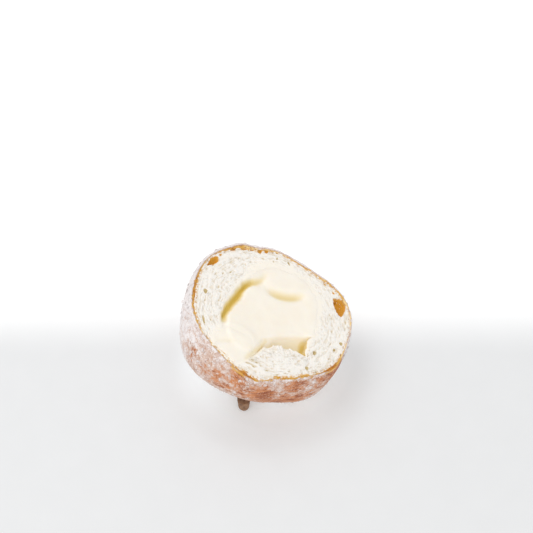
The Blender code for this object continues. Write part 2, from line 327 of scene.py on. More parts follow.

# %% [markdown]
# ## The hollow and the lie of the cream
#
# The cream fills a rounded hollow with steep walls. Where it has drawn back from the crumb, at
# the upper left, a groove runs along the wall with painted yellow shade, as light that bounces
# between its creamy sides would colour it. A fold lies under the upper lump of cream, and the front
# of the cream slopes down below the crumb and ends in a deep notch on the right, and these get
# painted shade too. One tongue is smeared over the crumb at the front left by the knife, and its
# right side gets a little painted shade as well.
# All of these are heights over the cut, so they are plain functions of x and y. The crumb and the
# cream share them, and therefore fit each other.

# %% Hollow and gap measures
HOLLOW_CENTRE = (0.5, -0.1)
HOLLOW_RADIUS = 21.0
HOLLOW_WAVES = ((2, 2.8, 41.0), (3, 1.7, -28.0), (4, 1.2, -42.0), (5, 0.8, 24.0))
HOLLOW_DEPTH = 19.0
HOLLOW_STEEPNESS = 0.7
HOLLOW_BUMPS = (  # angle, span, rise: the crumb stands in at the front, with a small notch
    (-80.0, 27.0, -1.5),
    (-102.0, 6.0, -2.0),
    (-49.0, 3.0, 2.8),
    (-43.0, 5.0, 0.5),
    (-31.0, 8.0, -1.9),
)
GAP_LINE = (  # x, y and share of the depth, along the bottom of the gap at the upper left
    (0.0, 20.9, 0.0),
    (-2.4, 17.9, 0.2),
    (-4.2, 15.6, 0.35),
    (-6.4, 14.1, 0.5),
    (-9.0, 13.4, 0.75),
    (-11.0, 12.0, 0.95),
    (-12.9, 9.4, 1.0),
    (-14.7, 6.3, 1.0),
    (-17.6, 2.2, 0.95),
    (-20.0, -1.8, 0.95),
    (-21.2, -4.6, 0.9),
    (-21.4, -6.9, 0.5),
)
GAP_WIDTH, GAP_DEPTH = 1.7, 2.5
GAP_WANDER = (0.4, 3.2, 94, 2)


def hollow_radius(around):
    """Radius of the hollow about its own centre."""
    return outline(around, HOLLOW_RADIUS, HOLLOW_WAVES) + bells_round(around, HOLLOW_BUMPS)


def about_hollow(x, y):
    """The angle round the hollow's centre, and how far out from its edge a place lies."""
    dx, dy = x - HOLLOW_CENTRE[0], y - HOLLOW_CENTRE[1]
    around = np.arctan2(dy, dx)
    return around, np.hypot(dx, dy) - hollow_radius(around)


def groove(x, y, line, width):
    """A groove along a line of points with x, y and share: the share, times a bell of the distance
    from the line. Of all the stretches of the line, the deepest counts."""
    deepest = 0.0
    for (x0, y0, share0), (x1, y1, share1) in zip(line, line[1:]):
        run_x, run_y = x1 - x0, y1 - y0
        t = np.clip(((x - x0) * run_x + (y - y0) * run_y) / (run_x**2 + run_y**2), 0.0, 1.0)
        away = np.hypot(x - x0 - t * run_x, y - y0 - t * run_y)
        deepest = np.maximum(deepest, (share0 + (share1 - share0) * t) * bell(away / width))
    return deepest


def gap_groove(x, y):
    """The share of the gap at the upper left, of a width that wanders along it."""
    wandering = 1.0 + clouds(np.stack((x, y), axis=-1), GAP_WANDER)
    return groove(x, y, GAP_LINE, GAP_WIDTH * wandering)


print("Hollow radius:", hollow_radius(turn(8)).round(1), "mm")

# %% Front slope and tongue
BROW_END, BROW_SLANT = (17.8, -6.7), 0.13  # the right end of the slope's upper edge, and its slant
BROW_BEND_FROM, BROW_BEND = 14.0, 0.008
BROW_TURN_FROM, BROW_TURN = -4.0, 0.9
SLOPE_RUN, SLOPE_RUN_GAIN, SLOPE_RUN_LIMITS = 5.2, 0.2, (1.8, 8.0)
BROW_SOFTNESS, OPEN_SOFTNESS = 0.35, 0.4
TONGUE_CENTRE = (-17.5, -17.5)
TONGUE_LENGTH, TONGUE_WIDTH = (8.5, 10.0), (9.0, 9.5)  # to the back and front, left and right
TONGUE_THICKNESS = 0.6
FLANK_LINE = (  # x, y and how much painted shade lies on the tongue's right side
    (-2.0, -13.6, 0.3),
    (-5.4, -17.8, 0.34),
    (-8.3, -20.7, 0.32),
    (-11.0, -23.2, 0.26),
    (-13.2, -26.6, 0.0),
)
FLANK_WIDTH = 1.6


def front_fall(x, y):
    """0 on the level cream, 1 at the foot of its front slope: a crisp brow, then a hollow curve.
    The brow runs nearly straight on the right and turns to the front on the left."""
    brow = BROW_END[1] - BROW_SLANT * (BROW_END[0] - x) - BROW_BEND * (BROW_BEND_FROM - x).clip(0.0) ** 2
    brow = brow - BROW_TURN * (BROW_TURN_FROM - x).clip(0.0)
    t = np.clip((brow - y) / (SLOPE_RUN + SLOPE_RUN_GAIN * x).clip(*SLOPE_RUN_LIMITS), 0.0, 1.0)
    return (1.0 - (1.0 - t) ** 2) * step(t / BROW_SOFTNESS)


def open_front(around):
    """1 where the front slope of the cream stays below the crumb, 0 where it is wiped over it."""
    radius = hollow_radius(around)
    x, y = HOLLOW_CENTRE[0] + radius * np.cos(around), HOLLOW_CENTRE[1] + radius * np.sin(around)
    return step(front_fall(x, y) / OPEN_SOFTNESS)


def tongue_distance(x, y):
    """0 at the middle of the smeared tongue, 1 at its edge: an egg made of four quarter ellipses."""
    forward, right = TONGUE_CENTRE[1] - y, x - TONGUE_CENTRE[0]
    length = np.where(forward < 0.0, *TONGUE_LENGTH)
    width = np.where(right < 0.0, *TONGUE_WIDTH)
    return np.hypot(forward / length, right / width)


def tongue_flank(x, y):
    """How much painted shade lies on the right side of the tongue."""
    return groove(x, y, FLANK_LINE, FLANK_WIDTH)


print("The front is open for a share of", round(float(open_front(turn(360)).mean()), 2), "of the turn")

# %% [markdown]
# ## The crumb
#
# The white crumb is a web of stretched bubbles. A knife drags it along the cut, so its pores are
# longer round the ball than across it. It could be faked with a bump map, but the pores are up to
# a millimetre wide and a few are much larger, so they are cut into the mesh.
# The crumb is one closed skin: up the wall of the hollow, out across the cut, and down inside the
# crust. Each point also stores how deep it sits in a pore, which also sets the painted shade in the
# pore, how toasted it is, how much cream is smeared over it, and how much painted yellow shade it
# gets in the gap and beside the tongue.

# %% Large bubbles
AIR_POCKETS = (  # place, half sizes, turn, depth: the large bubbles with toasted walls
    ((32.7, 9.0), (2.7, 4.5), 4.0, 4.2),
    ((30.7, 12.4), (1.2, 0.9), 0.0, 2.0),
    ((-26.5, 20.6), (1.45, 3.3), -44.0, 2.4),
    ((-28.4, 18.7), (0.9, 0.5), 60.0, 0.9),
)
TOASTED_PORES = (  # small bubbles next to the crust
    ((-5.0, 29.7), (1.0, 1.2), 0.0, 1.1),
    ((-2.0, 30.2), (1.0, 0.9), 0.0, 0.9),
    ((-17.8, 28.5), (2.0, 1.0), 15.0, 1.0),
    ((-12.5, 29.3), (1.5, 0.6), 8.0, 0.6),
    ((-8.8, 29.6), (0.9, 0.5), 0.0, 0.5),
    ((20.5, 24.3), (0.7, 0.4), -40.0, 0.4),
    ((25.6, 19.4), (0.8, 0.4), -50.0, 0.4),
    ((29.6, 15.6), (0.7, 0.5), -50.0, 0.5),
    ((3.2, -29.8), (1.6, 0.5), 4.0, 0.5),
    ((3.0, 30.6), (0.7, 0.5), 0.0, 0.6),
    ((-23.2, 24.4), (0.7, 0.5), 40.0, 0.6),
)
PALE_PORES = (  # bubbles and slits in the white crumb
    ((-29.7, 5.2), (1.0, 1.3), 0.0, 0.9),
    ((-30.2, -8.9), (0.5, 2.6), 12.0, 0.8),
    ((20.4, -15.3), (0.9, 1.1), -10.0, 1.0),
    ((16.6, -23.4), (0.9, 1.1), 0.0, 0.9),
    ((32.7, -8.9), (0.9, 0.9), 0.0, 0.8),
    ((29.6, -12.3), (0.6, 0.8), 0.0, 0.7),
    ((32.4, -14.4), (0.5, 0.8), 0.0, 0.6),
    ((8.6, 26.3), (0.5, 1.2), 25.0, 0.7),
    ((3.1, 27.7), (0.4, 0.8), -20.0, 0.6),
    ((1.5, 25.9), (0.4, 0.6), 20.0, 0.5),
)
PORE_GROUPS = ((AIR_POCKETS, 1.0), (TOASTED_PORES, 0.9), (PALE_PORES, 0.0))  # and how toasted
EGG_SHAPE = 0.33


def pit(x, y, place, half_sizes, degrees, ragged):
    """1 at the middle of an egg-shaped pit, 0 from its edge on: root of 1 minus distance squared.
    The egg is a third wider than its half size at one end and a third narrower at the other."""
    dx, dy, angle = x - place[0], y - place[1], radians(degrees)
    across = (dy * cos(angle) - dx * sin(angle)) / half_sizes[1]
    width = half_sizes[0] * (1.0 + EGG_SHAPE * across.clip(-1.5, 1.5))
    along = (dx * cos(angle) + dy * sin(angle)) / width
    return np.sqrt((1.0 - (along**2 + across**2) * (1.0 + ragged)).clip(0.0))


print("Large bubbles:", sum(len(group) for group, _ in PORE_GROUPS))

# %% Crust width and cream film
GLAZE = 0.45  # room for the sugar between the crust and the ball's outline
CRUST_WIDTHS = (  # angle, span, and how much wider the crust shows there
    (111.0, 8.0, 1.2),
    (145.0, 9.0, -0.3),
    (172.0, 14.0, 0.8),
    (-146.0, 12.0, -0.35),
    (-110.0, 8.0, 1.3),
    (-38.0, 8.0, 0.7),
    (-70.0, 20.0, 0.25),
    (-5.0, 22.0, -0.4),
)
CRUST_MIDDLE, CRUST_LEAST = 0.85, 0.3
CRUST_SWELLS, CRUST_TEETH = (0.35, 6.0, 31, 2), (0.3, 1.8, 32, 2)
FILM_REACHES = ((25.0, 50.0, 2.0), (105.0, 30.0, 3.0), (160.0, 20.0, 1.0), (-75.0, 40.0, -2.0))
FILM_MIDDLE, FILM_LEAST, FILM_START = 2.2, 0.6, 0.25
FILM_PATCHES, FILM_SPECKS = (1.4, 5.0, 41, 2), (0.35, 1.3, 38, 2)
TONGUE_RIM = 0.9  # where the smear round the tongue starts to thin out
TONGUE_FADE, TONGUE_FADE_GAIN = 0.2, 0.2  # how softly it does, and how much more on the left
TONGUE_FADE_FROM, TONGUE_FADE_RUN = -12.0, 8.0


def crust_width(around):
    """How thick the crust shows at the cut: thin at the sides, wider and porous at the top and
    at the front."""
    places = rays(around) * RIM_RADIUS
    width = CRUST_MIDDLE + clouds(places, CRUST_SWELLS) + clouds(places, CRUST_TEETH)
    return (width + bells_round(around, CRUST_WIDTHS)).clip(CRUST_LEAST)


def cream_film(x, y, hollow_around, from_hollow):
    """How much cream is smeared over the crumb: 1 at the hollow's edge and round the tongue, and
    0 from a patchy distance on."""
    flat = np.stack((x, y), axis=-1)
    reach = FILM_MIDDLE + clouds(flat, FILM_PATCHES) + bells_round(hollow_around, FILM_REACHES)
    patchy = clouds(flat, FILM_SPECKS)
    wiped = 1.0 - step(from_hollow / reach.clip(FILM_LEAST) - FILM_START + patchy)
    softness = TONGUE_FADE + TONGUE_FADE_GAIN * step((TONGUE_FADE_FROM - x) / TONGUE_FADE_RUN)
    smeared = 1.0 - step((tongue_distance(x, y) - TONGUE_RIM) / softness + patchy)
    return np.maximum(wiped, smeared)


print("Crust width:", crust_width(turn(8)).round(2), "mm")

# %% Web of small pores
TANGLE_RADIUS = 27.0
WEB_BENDS = ((0.5, 2.5, 40, 2), (0.5, 2.5, 39, 2))
WEBS = (  # how wide the walls are, the size across and along the knife's way, the landscape
    (0.38, 1.0, 3.4, (1.0, 1.0, 42, 2)),
    (0.33, 0.55, 2.1, (1.0, 1.0, 43, 2)),
)
COMB_AROUND, COMB_SPAN = radians(-108.0), 0.3  # where the knife combed the crumb to strands
COMB_REACH, COMB_WIDTH = 27.0, 4.0
STRANDS, STRAND_SIZES, STRAND_LIMITS = (1.0, 1.0, 36, 1), (1.1, 8.0), (0.16, 0.22)
BUBBLE_SIZES, BUBBLE_SEED, BUBBLE_DEPTH = (1.3, 2.4), 44, 0.65
BUBBLE_LEAST, BUBBLE_GAIN, BUBBLE_FROM = 0.18, 0.36, 0.45  # their radii, and which places have one
WEB_DEPTH, COMB_DEPTH = 0.5, 0.25


def tangled(x, y, across, along):
    """Places for noise that is stretched round the ball: the angle's cosine and sine times a
    length, and the distance from the centre."""
    round_ball = rays(np.arctan2(y, x)) * TANGLE_RADIUS / along
    return np.concatenate((round_ball, (np.hypot(x, y) / across)[..., None]), axis=-1)


def web_of_walls(x, y, at_comb):
    """1 on the walls between the pores, 0 in the pores: a wall runs wherever one of two stretched
    noises crosses 0. Where the knife combed the crumb, long strands take their place."""
    flat = np.stack((x, y), axis=-1)
    bent_x, bent_y = x + clouds(flat, WEB_BENDS[0]), y + clouds(flat, WEB_BENDS[1])
    crossings = [
        np.abs(clouds(tangled(bent_x, bent_y, across, along), landscape)) / width
        for width, across, along, landscape in WEBS
    ]
    walls = 1.0 - step(np.minimum(*crossings))
    combed = np.abs(clouds(tangled(bent_x, bent_y, *STRAND_SIZES), STRANDS))
    strands = 1.0 - step((combed - STRAND_LIMITS[0]) / STRAND_LIMITS[1])
    return walls * (1.0 - at_comb) + at_comb * strands


def small_pores(x, y, open_crumb):
    """How deep a place sits in the small pores: half a depth between the walls of the web, and
    more in some round bubbles."""
    around, reach = np.arctan2(y, x), np.hypot(x, y)
    at_comb = bell((around - COMB_AROUND) / COMB_SPAN) * bell((reach - COMB_REACH) / COMB_WIDTH)
    web = web_of_walls(x, y, at_comb)
    away, _, mark = scattered(tangled(x, y, *BUBBLE_SIZES), 1.0, BUBBLE_SEED)
    bubble = (1.0 - away / (BUBBLE_LEAST + BUBBLE_GAIN * mark)).clip(0.0) * (mark > BUBBLE_FROM)
    web_depth = WEB_DEPTH + COMB_DEPTH * at_comb
    return (web_depth * (1.0 - web) + BUBBLE_DEPTH * bubble) * open_crumb


print("The combed strands lie", COMB_REACH, "mm out")

# %% Crumb relief
SWELL = (0.22, 9.0, 45, 3)
PORE_DEPTH, CRUMB_LEVEL = 0.75, -0.1
CLOSED_RUN, CLOSED_START = 0.8, 0.35  # how the small pores thin out towards the crust
FRONT, FRONT_SPAN = radians(-75.0), 0.5  # where the hollow's edge is torn to tufts
TUFTS, TUFT_RISE, TUFT_REACH, TUFT_GAPS = (1.0, 1.0, 35, 2), 0.3, 4.0, 0.5
ROUNDED_AROUND, ROUNDED_SPAN = radians(-112.0), 0.3  # where the hollow's edge is rounded off
ROUNDED_WIDTH, ROUNDED_DEPTH = 1.6, 0.7
FRINGE_MIDDLE, FRINGE_LEAST, FRINGE = 1.1, 0.3, (1.0, 1.8, 46, 2)
FRINGE_SPECKLE, FRINGE_TOAST = (1.5, 0.9, 50, 2), 0.75
FRINGE_SHARE, SCORCH_SHARE = 0.55, 0.5  # above a half, more of the speckles are toasted
PALE_STRETCH = ((-6.0, 22.0, 0.6),)
PEEL_AROUND, PEEL_SPAN = radians(-130.0), 0.13  # a second golden line at the front left
PEEL_WIDTH, PEEL_DEPTH, PEEL_TOAST, PEEL_BREAKS = 0.22, 0.3, 0.9, (1.5, 1.2, 48, 1)
PEEL_START, PEEL_OFF, PEEL_NEARING = radians(-140.0), 1.0, 0.02  # how it leaves the crust
SCORCH_AROUND, SCORCH_SPAN = radians(112.0), 0.22  # the darker patch at the top
SCORCH_REACH, SCORCH_TOAST, SCORCH_SPECKS = (0.6, 1.8), 0.85, (1.4, 1.3, 49, 3)
BUBBLE_EDGES = (0.16, 1.3, 47, 2)
PIT_SHADE, PIT_SHADE_MOST, PIT_TOAST_RUN = 1.6, 0.6, 0.25  # painted shade and toast in a large bubble


def toasted_edge(flat, around, from_crust):
    """How toasted the crumb is next to the crust: a speckled fringe, a peeled line beside it and
    a scorched patch. Also gives the share of the peeled line."""
    fringe = (FRINGE_MIDDLE + clouds(flat, FRINGE)).clip(FRINGE_LEAST)
    speckled = step(FRINGE_SHARE + clouds(flat, FRINGE_SPECKLE))
    toast = FRINGE_TOAST * (1.0 - step(from_crust / fringe)) * speckled
    from_peel = from_crust - PEEL_OFF - PEEL_NEARING * np.degrees(around - PEEL_START)
    peel = bell(from_peel / PEEL_WIDTH) * bell((around - PEEL_AROUND) / PEEL_SPAN)
    toast = np.maximum(toast, PEEL_TOAST * peel * step(1.0 + clouds(flat, PEEL_BREAKS)))
    toast = toast * (1.0 - bells_round(around, PALE_STRETCH))
    fading = 1.0 - step((from_crust - SCORCH_REACH[0]) / SCORCH_REACH[1])
    scorched = bell((around - SCORCH_AROUND) / SCORCH_SPAN) * fading
    specks = step(SCORCH_SHARE + clouds(flat, SCORCH_SPECKS))
    return np.maximum(toast, SCORCH_TOAST * scorched * specks), peel


def crumb_relief(x, y):
    """Height of the crumb over the cut with its pore depth, toast and cream film, each 0 to 1:
    a broad swell, less the pores, the gap and the large bubbles."""
    flat = np.stack((x, y), axis=-1)
    around = np.arctan2(y, x)
    hollow_around, from_hollow = about_hollow(x, y)
    from_crust = rim_radius(around, -GLAZE) - crust_width(around) - np.hypot(x, y)
    film = cream_film(x, y, hollow_around, from_hollow)
    pore = small_pores(x, y, (1.0 - film) * step(from_crust / CLOSED_RUN + CLOSED_START))

    tuft = clouds(np.stack((hollow_around * HOLLOW_RADIUS, from_hollow / TUFT_REACH), axis=-1), TUFTS)
    at_front = bell((hollow_around - FRONT) / FRONT_SPAN) * bell(from_hollow / TUFT_REACH)
    pore = np.maximum(pore, TUFT_GAPS * step(0.5 - 2.0 * tuft) * at_front)

    height = clouds(flat, SWELL) - PORE_DEPTH * pore + CRUMB_LEVEL + TUFT_RISE * tuft * at_front
    rounded = ROUNDED_DEPTH * bell((hollow_around - ROUNDED_AROUND) / ROUNDED_SPAN)
    rounded = rounded * bell(from_hollow.clip(0.0) / ROUNDED_WIDTH)
    toast, peel = toasted_edge(flat, around, from_crust)
    height = height - rounded - GAP_DEPTH * gap_groove(x, y) - PEEL_DEPTH * peel
    ragged = clouds(flat, BUBBLE_EDGES)
    for group, colour in PORE_GROUPS:
        for place, half_sizes, degrees, depth in group:
            inside = pit(x, y, place, half_sizes, degrees, ragged)
            height = height - depth * inside
            pore = np.maximum(pore, (PIT_SHADE - colour) * inside.clip(0.0, PIT_SHADE_MOST))
            toast = np.maximum(toast, colour * step(inside / PIT_TOAST_RUN))
    return height, pore.clip(0.0, 1.0), toast, film


print("A full pore is cut", PORE_DEPTH, "mm deep")

# %% Crumb piece
CRUMB_COLUMNS, CRUMB_ROWS = 880, 60
HIDDEN_ROWS = 9
WALL_UPS = np.concatenate((np.linspace(-pi / 2, -0.5, 7), np.linspace(-0.45, -0.01, 16)))
HIDDEN_START, CRUMB_FLOOR = 0.04, 1.2
FRAY, FRAY_EVERYWHERE, FRAY_AT_FRONT, FRAY_SPAN = (1.0, 1.4, 51, 3), 0.3, 0.6, 0.6
UNDER_CRUST = 0.3  # how far the crumb runs on under the crust, and how far it dips there
LIP_DIP, LIP_WIDTH = 0.3, 0.6  # how the crumb rounds off into the hollow


def make_crumb():
    """Rings from the foot of the hollow up its wall, across the cut, and down inside the crust."""
    around = turn(CRUMB_COLUMNS)
    unit = rays(around)
    fray = FRAY_EVERYWHERE + FRAY_AT_FRONT * bell((around - FRONT) / FRAY_SPAN)
    inner_reach = hollow_radius(around) + fray * clouds(unit * HOLLOW_RADIUS, FRAY)
    inner_edge = np.array(HOLLOW_CENTRE) + inner_reach[:, None] * unit
    crust_grow = -GLAZE - crust_width(around) + UNDER_CRUST
    outer_edge = rim_radius(around, crust_grow)[:, None] * unit

    share = np.linspace(0.0, 1.0, CRUMB_ROWS)[:, None, None]
    flat = inner_edge + (outer_edge - inner_edge) * share
    x, y = flat[..., 0], flat[..., 1]
    height, pore, toast, film = crumb_relief(x, y)
    height = height - LIP_DIP * bell(np.linalg.norm(flat - inner_edge, axis=-1) / LIP_WIDTH)
    height[-1] -= UNDER_CRUST
    top = to_world(x, y, height)

    up = WALL_UPS[:, None]
    reach = (inner_reach * np.cos(up).clip(0.0) ** HOLLOW_STEEPNESS)[..., None] * unit
    sunk = HOLLOW_DEPTH * np.sin(up) + height[0]
    wall = to_world(HOLLOW_CENTRE[0] + reach[..., 0], HOLLOW_CENTRE[1] + reach[..., 1], sunk)

    below = CUT_UP - np.linspace(HIDDEN_START, 1.0, HIDDEN_ROWS)[:, None] * (CUT_UP + pi / 2)
    hidden = ball(around, below, crust_grow, CRUMB_FLOOR)
    # painted yellow shade in the gap and on the tongue's right side, half of it on the hollow's wall
    painted_shade = np.maximum(gap_groove(x, y), tongue_flank(x, y))
    grids = {  # the number on the wall, the grid on the cut, and the number inside the crust
        "pore": (0.0, pore, 0.0),
        "toast": (0.0, toast, 0.5),
        "film": (1.0, film, 0.0),
        "painted_shade": (0.5, painted_shade, 0.0),
    }
    values = {
        key: all_rows(CRUMB_COLUMNS, (len(wall), on_wall), grid, (len(hidden), on_hidden))
        for key, (on_wall, grid, on_hidden) in grids.items()
    }
    return ring_piece("crumb", np.concatenate((wall, top, hidden)), values, "dough")


crumb = make_crumb()

# %% [markdown]
# ## The sugar's thickness
#
# The ball was dipped in sugar glaze that dried to a thin shell. Where it is thick it is white and
# crazed into small plates, where it is thin the brown crust shows through it as pink and tan, and
# at the front much of it has rubbed off along the folds.
# Its thickness is worked out before the crust is made, because the crust is dusted with sugar
# where the shell ends. It is a sum of broad patches put where the photo shows them, soft noise,
# streaks that run round the wall, and the cracks between scattered plates.

# %% Sugar thickness
COVER_MIDDLE = 0.28
COVER = (  # angle round, angle up, spans of both, and how much more or less sugar lies there
    (180.0, 5.0, 45.0, 30.0, 0.06),
    (135.0, 10.0, 30.0, 12.0, 0.15),
    (236.0, 0.0, 24.0, 30.0, -0.21),
    (251.0, -8.0, 13.0, 8.0, 0.08),
    (268.0, -15.0, 40.0, 30.0, -0.17),
    (322.0, 0.0, 22.0, 24.0, -0.17),
    (251.0, -4.0, 4.0, 3.0, -0.10),
    (334.0, 6.0, 9.0, 10.0, -0.20),
    (267.0, -2.0, 9.0, 8.0, -0.34),
    (274.0, -24.0, 26.0, 9.0, -0.16),
    (95.0, 13.0, 60.0, 5.0, 0.22),
    (338.0, -12.0, 16.0, 12.0, -0.08),
    (326.0, 8.0, 10.0, 14.0, -0.25),
    (290.0, 3.0, 7.0, 7.0, -0.24),
    (289.0, -18.0, 12.0, 7.0, -0.42),
    (279.0, 3.0, 5.0, 6.0, 0.10),
    (252.0, 9.0, 12.0, 5.0, -0.14),
    (296.0, 9.0, 14.0, 5.0, -0.20),
    (301.0, -8.0, 9.0, 10.0, -0.20),
)
CRACKLE = (  # where the sugar is cracked open: angle round, angle up, spans of both, how much
    (189.0, 4.0, 5.0, 5.0, 0.5),
    (213.0, 0.0, 5.0, 5.0, 1.2),
    (246.0, 6.0, 3.0, 3.0, 1.0),
    (268.0, 4.0, 10.0, 8.0, 0.4),
)
PATCHES, BLOTCHES, LUMPS = (0.09, 8.0, 71, 2), (0.07, 2.8, 72, 2), (0.14, 0.9, 77, 2)
RUBBED, RUBBED_SIZES = (0.13, 1.0, 73, 3), (4.5, 0.9)  # a landscape, and sizes along and across
STREAKS, STREAK_SIZES = (1.0, 1.0, 66, 3), (3.4, 0.7)
SUGAR_LIPS = ((-45.0, 6.0, 0.15), (-33.0, 6.0, -0.4), (-112.0, 8.0, -0.3))
LIP, LIP_MIDDLE, LIP_HEIGHT = (0.4, 2.4, 79, 2), 0.06, 0.9
PLATE_SIZES, PLATE_SEED, PLATE_BENDS, PLATE_STEP = (1.7, 1.05), 75, (0.5, 1.3, 74, 2), 0.09
CRACKS, CRACK_WIDTH, CRACK_DEPTH, CRACK_MOST = (0.9, 3.0, 78, 2), 0.16, 0.30, 1.1
CRAZING_SIZE, CRAZING_SEED, CRAZING_DEPTH = 0.95, 76, 0.05


def stretched(around, up, along, across):
    """Places for noise that runs round the wall, parallel to the cut: lengths round the rim and
    up the wall, each divided by how far the noise is stretched that way."""
    round_ball = rays(around) * RIM_RADIUS / along
    return np.concatenate((round_ball, (up * BALL_DEPTH / across)[..., None]), axis=-1)


def patches_on(around, up, patches):
    """A sum of bells on the wall: each row holds two angles, the span of each, and the height."""
    lift = np.degrees(up)
    return sum(
        more * bell(degrees_off(around, middle) / span) * bell((lift - level) / rise)
        for middle, level, span, rise, more in patches
    )


def glaze_thickness(around, up):
    """Millimetres of sugar on the crust, below 0 where it is bare: the sum of patches, rubbed
    streaks, the lip at the cut, plates of unlike height and lumps, less the cracks."""
    places = ball(around, up)
    cover = COVER_MIDDLE + patches_on(around, up, COVER)
    patches = clouds(places, PATCHES) + clouds(places, BLOTCHES)
    rubbed = clouds(stretched(around, up, *RUBBED_SIZES), RUBBED)
    lip = LIP_MIDDLE + clouds(places, LIP) + bells_round(around, SUGAR_LIPS)
    lip = lip * bell((CUT_UP - up) * BALL_DEPTH / LIP_HEIGHT)

    bent = stretched(around, up, *PLATE_SIZES) + clouds(places, PLATE_BENDS)[..., None]
    plate, beside, mark = scattered(bent, 1.0, PLATE_SEED)
    broken = (clouds(places, CRACKS) + patches_on(around, up, CRACKLE)).clip(0.0, CRACK_MOST)
    cracks = bell((beside - plate) / CRACK_WIDTH) * broken
    small, small_beside, _ = scattered(places, CRAZING_SIZE, CRAZING_SEED)
    crazing = bell((small_beside - small) / CRACK_WIDTH)
    uneven = cover + patches + rubbed + lip + PLATE_STEP * (mark - 0.5)
    return uneven - CRACK_DEPTH * cracks - CRAZING_DEPTH * crazing + clouds(places, LUMPS)


def streaks_on(around, up):
    """Long streaks along the wall, -1 to 1, where the crust is browner and the sugar rubbed."""
    return clouds(stretched(around, up, *STREAK_SIZES), STREAKS)


level_ring = turn(8)
print("Sugar near the cut:", glaze_thickness(level_ring, np.zeros_like(level_ring)).round(2), "mm")

# %% [markdown]
# ## The crust
#
# Frying browns only the outer millimetre. At the cut it shows as a fine golden line, wider and
# porous at the top and at the front, and below the cut it is red-brown under the sugar.
# It could be a painted band on the crumb, but it is a closed shell with a real thickness, so it
# also looks right where sugar is missing. Its rings go up the inside, across the cut edge, and
# down the outside. The attribute toast runs from the golden cut edge to the brown wall, and
# streak follows the folds that the dough's skin gets as it rolls.

# %% Rows of a skin
ROWS_BELOW = 14
WALL_FOOT = radians(-52.0)
FOLDS, FOLD_SIZES, FOLD_RISE = (1.0, 1.0, 61, 2), (9.0, 2.4), 0.10
DENTS, DENT_SIZES = (0.08, 1.0, 62, 2), (2.2, 1.6)


def wall_angles(rows_wall, top):
    """Angles up for the rows of a skin from the pole to its top: wide apart under the ball, close
    together on the wall that shows."""
    below = np.linspace(-pi / 2, WALL_FOOT, ROWS_BELOW, endpoint=False)[:, None]
    climb = np.linspace(0.0, 1.0, rows_wall)[:, None]
    return all_rows(len(top), below, WALL_FOOT + climb * (top - WALL_FOOT))


def inside_angles(rows, top):
    """Angles up for the hidden rows inside a skin, evenly from the pole to its top."""
    return -pi / 2 + np.linspace(0.0, 1.0, rows)[:, None] * (top + pi / 2)


def wrinkles(around, up):
    """How far the crust stands in or out: folds along the wall, which are 1 minus twice the size
    of a stretched noise, and small dents."""
    folds = 1.0 - 2.0 * np.abs(clouds(stretched(around, up, *FOLD_SIZES), FOLDS))
    return FOLD_RISE * folds + clouds(stretched(around, up, *DENT_SIZES), DENTS)


print("The close rows start", round(np.degrees(WALL_FOOT)), "degrees up")

# %% Crust piece
CRUST_COLUMNS, CRUST_WALL_ROWS, CRUST_INSIDE_ROWS = 600, 84, 9
STRIP_SHARES = np.linspace(0.0, 1.0, 9)[1:-1, None]  # the rows of the cut strip, from inside out
CRUST_FLOORS = (1.0, 0.25)  # how high the flat of its inside and of its outside lies
CRUST_TOP, CRUST_TOP_TEETH, CRUST_BEVEL, CRUST_INSIDE_TOP = 0.05, (0.12, 1.2, 63, 2), 0.12, -0.35
STRIP_ARCH, STRIP_LUMPS = 0.06, (0.20, 2.2, 64, 3)
STRIP_BUBBLE_SIZE, STRIP_BUBBLE_SEED, STRIP_BUBBLE_DEPTH = 1.3, 65, 0.9
STRIP_BUBBLE_LEAST, STRIP_BUBBLE_GAIN = 0.15, 0.35
POROUS_FROM, POROUS_RUN = 0.8, 0.6  # from this width on, and over this much more, it has bubbles
STRIP_STREAKS, STRIP_SPECKS = (0.5, 5.0, 67, 2), (0.4, 1.7, 68, 2)
STRIP_EDGE_TOAST, INSIDE_TOAST = (0.28, 0.2), 0.4
BROWNING_START, BROWNING_RUN = 0.3, 2.2  # how the golden edge turns brown below the cut
STRIP_TOAST = (  # angle, span, and how much darker or paler the cut crust is there
    (172.0, 14.0, 0.8),
    (150.0, 12.0, -0.3),
    (123.0, 4.0, 0.4),
    (100.0, 22.0, -0.75),
    (-142.0, 14.0, -0.6),
    (-110.0, 9.0, 0.8),
    (-72.0, 14.0, 0.4),
    (-37.0, 8.0, 1.3),
    (-8.0, 22.0, -0.8),
)


def cut_strip(around, width):
    """What shows of the crust at the cut, for its rows: the rise over the cut, which is a low
    arch with noise and less the bubbles, then how deep the bubbles are, and its streaks."""
    inwards = (1.0 - STRIP_SHARES[..., None]) * width[:, None]
    places = rays(around) * RIM_RADIUS * (1.0 - inwards / RIM_RADIUS)
    arch = STRIP_ARCH * (1.0 - (2.0 * STRIP_SHARES - 1.0) ** 6) + clouds(places, STRIP_LUMPS)
    away, _, mark = scattered(places, STRIP_BUBBLE_SIZE, STRIP_BUBBLE_SEED)
    holes = (1.0 - away / (STRIP_BUBBLE_LEAST + STRIP_BUBBLE_GAIN * mark)).clip(0.0)
    holes = holes * step((width - POROUS_FROM) / POROUS_RUN)
    streak = clouds(places, STRIP_STREAKS) + clouds(places, STRIP_SPECKS)
    return arch - STRIP_BUBBLE_DEPTH * holes, holes, streak + bells_round(around, STRIP_TOAST)


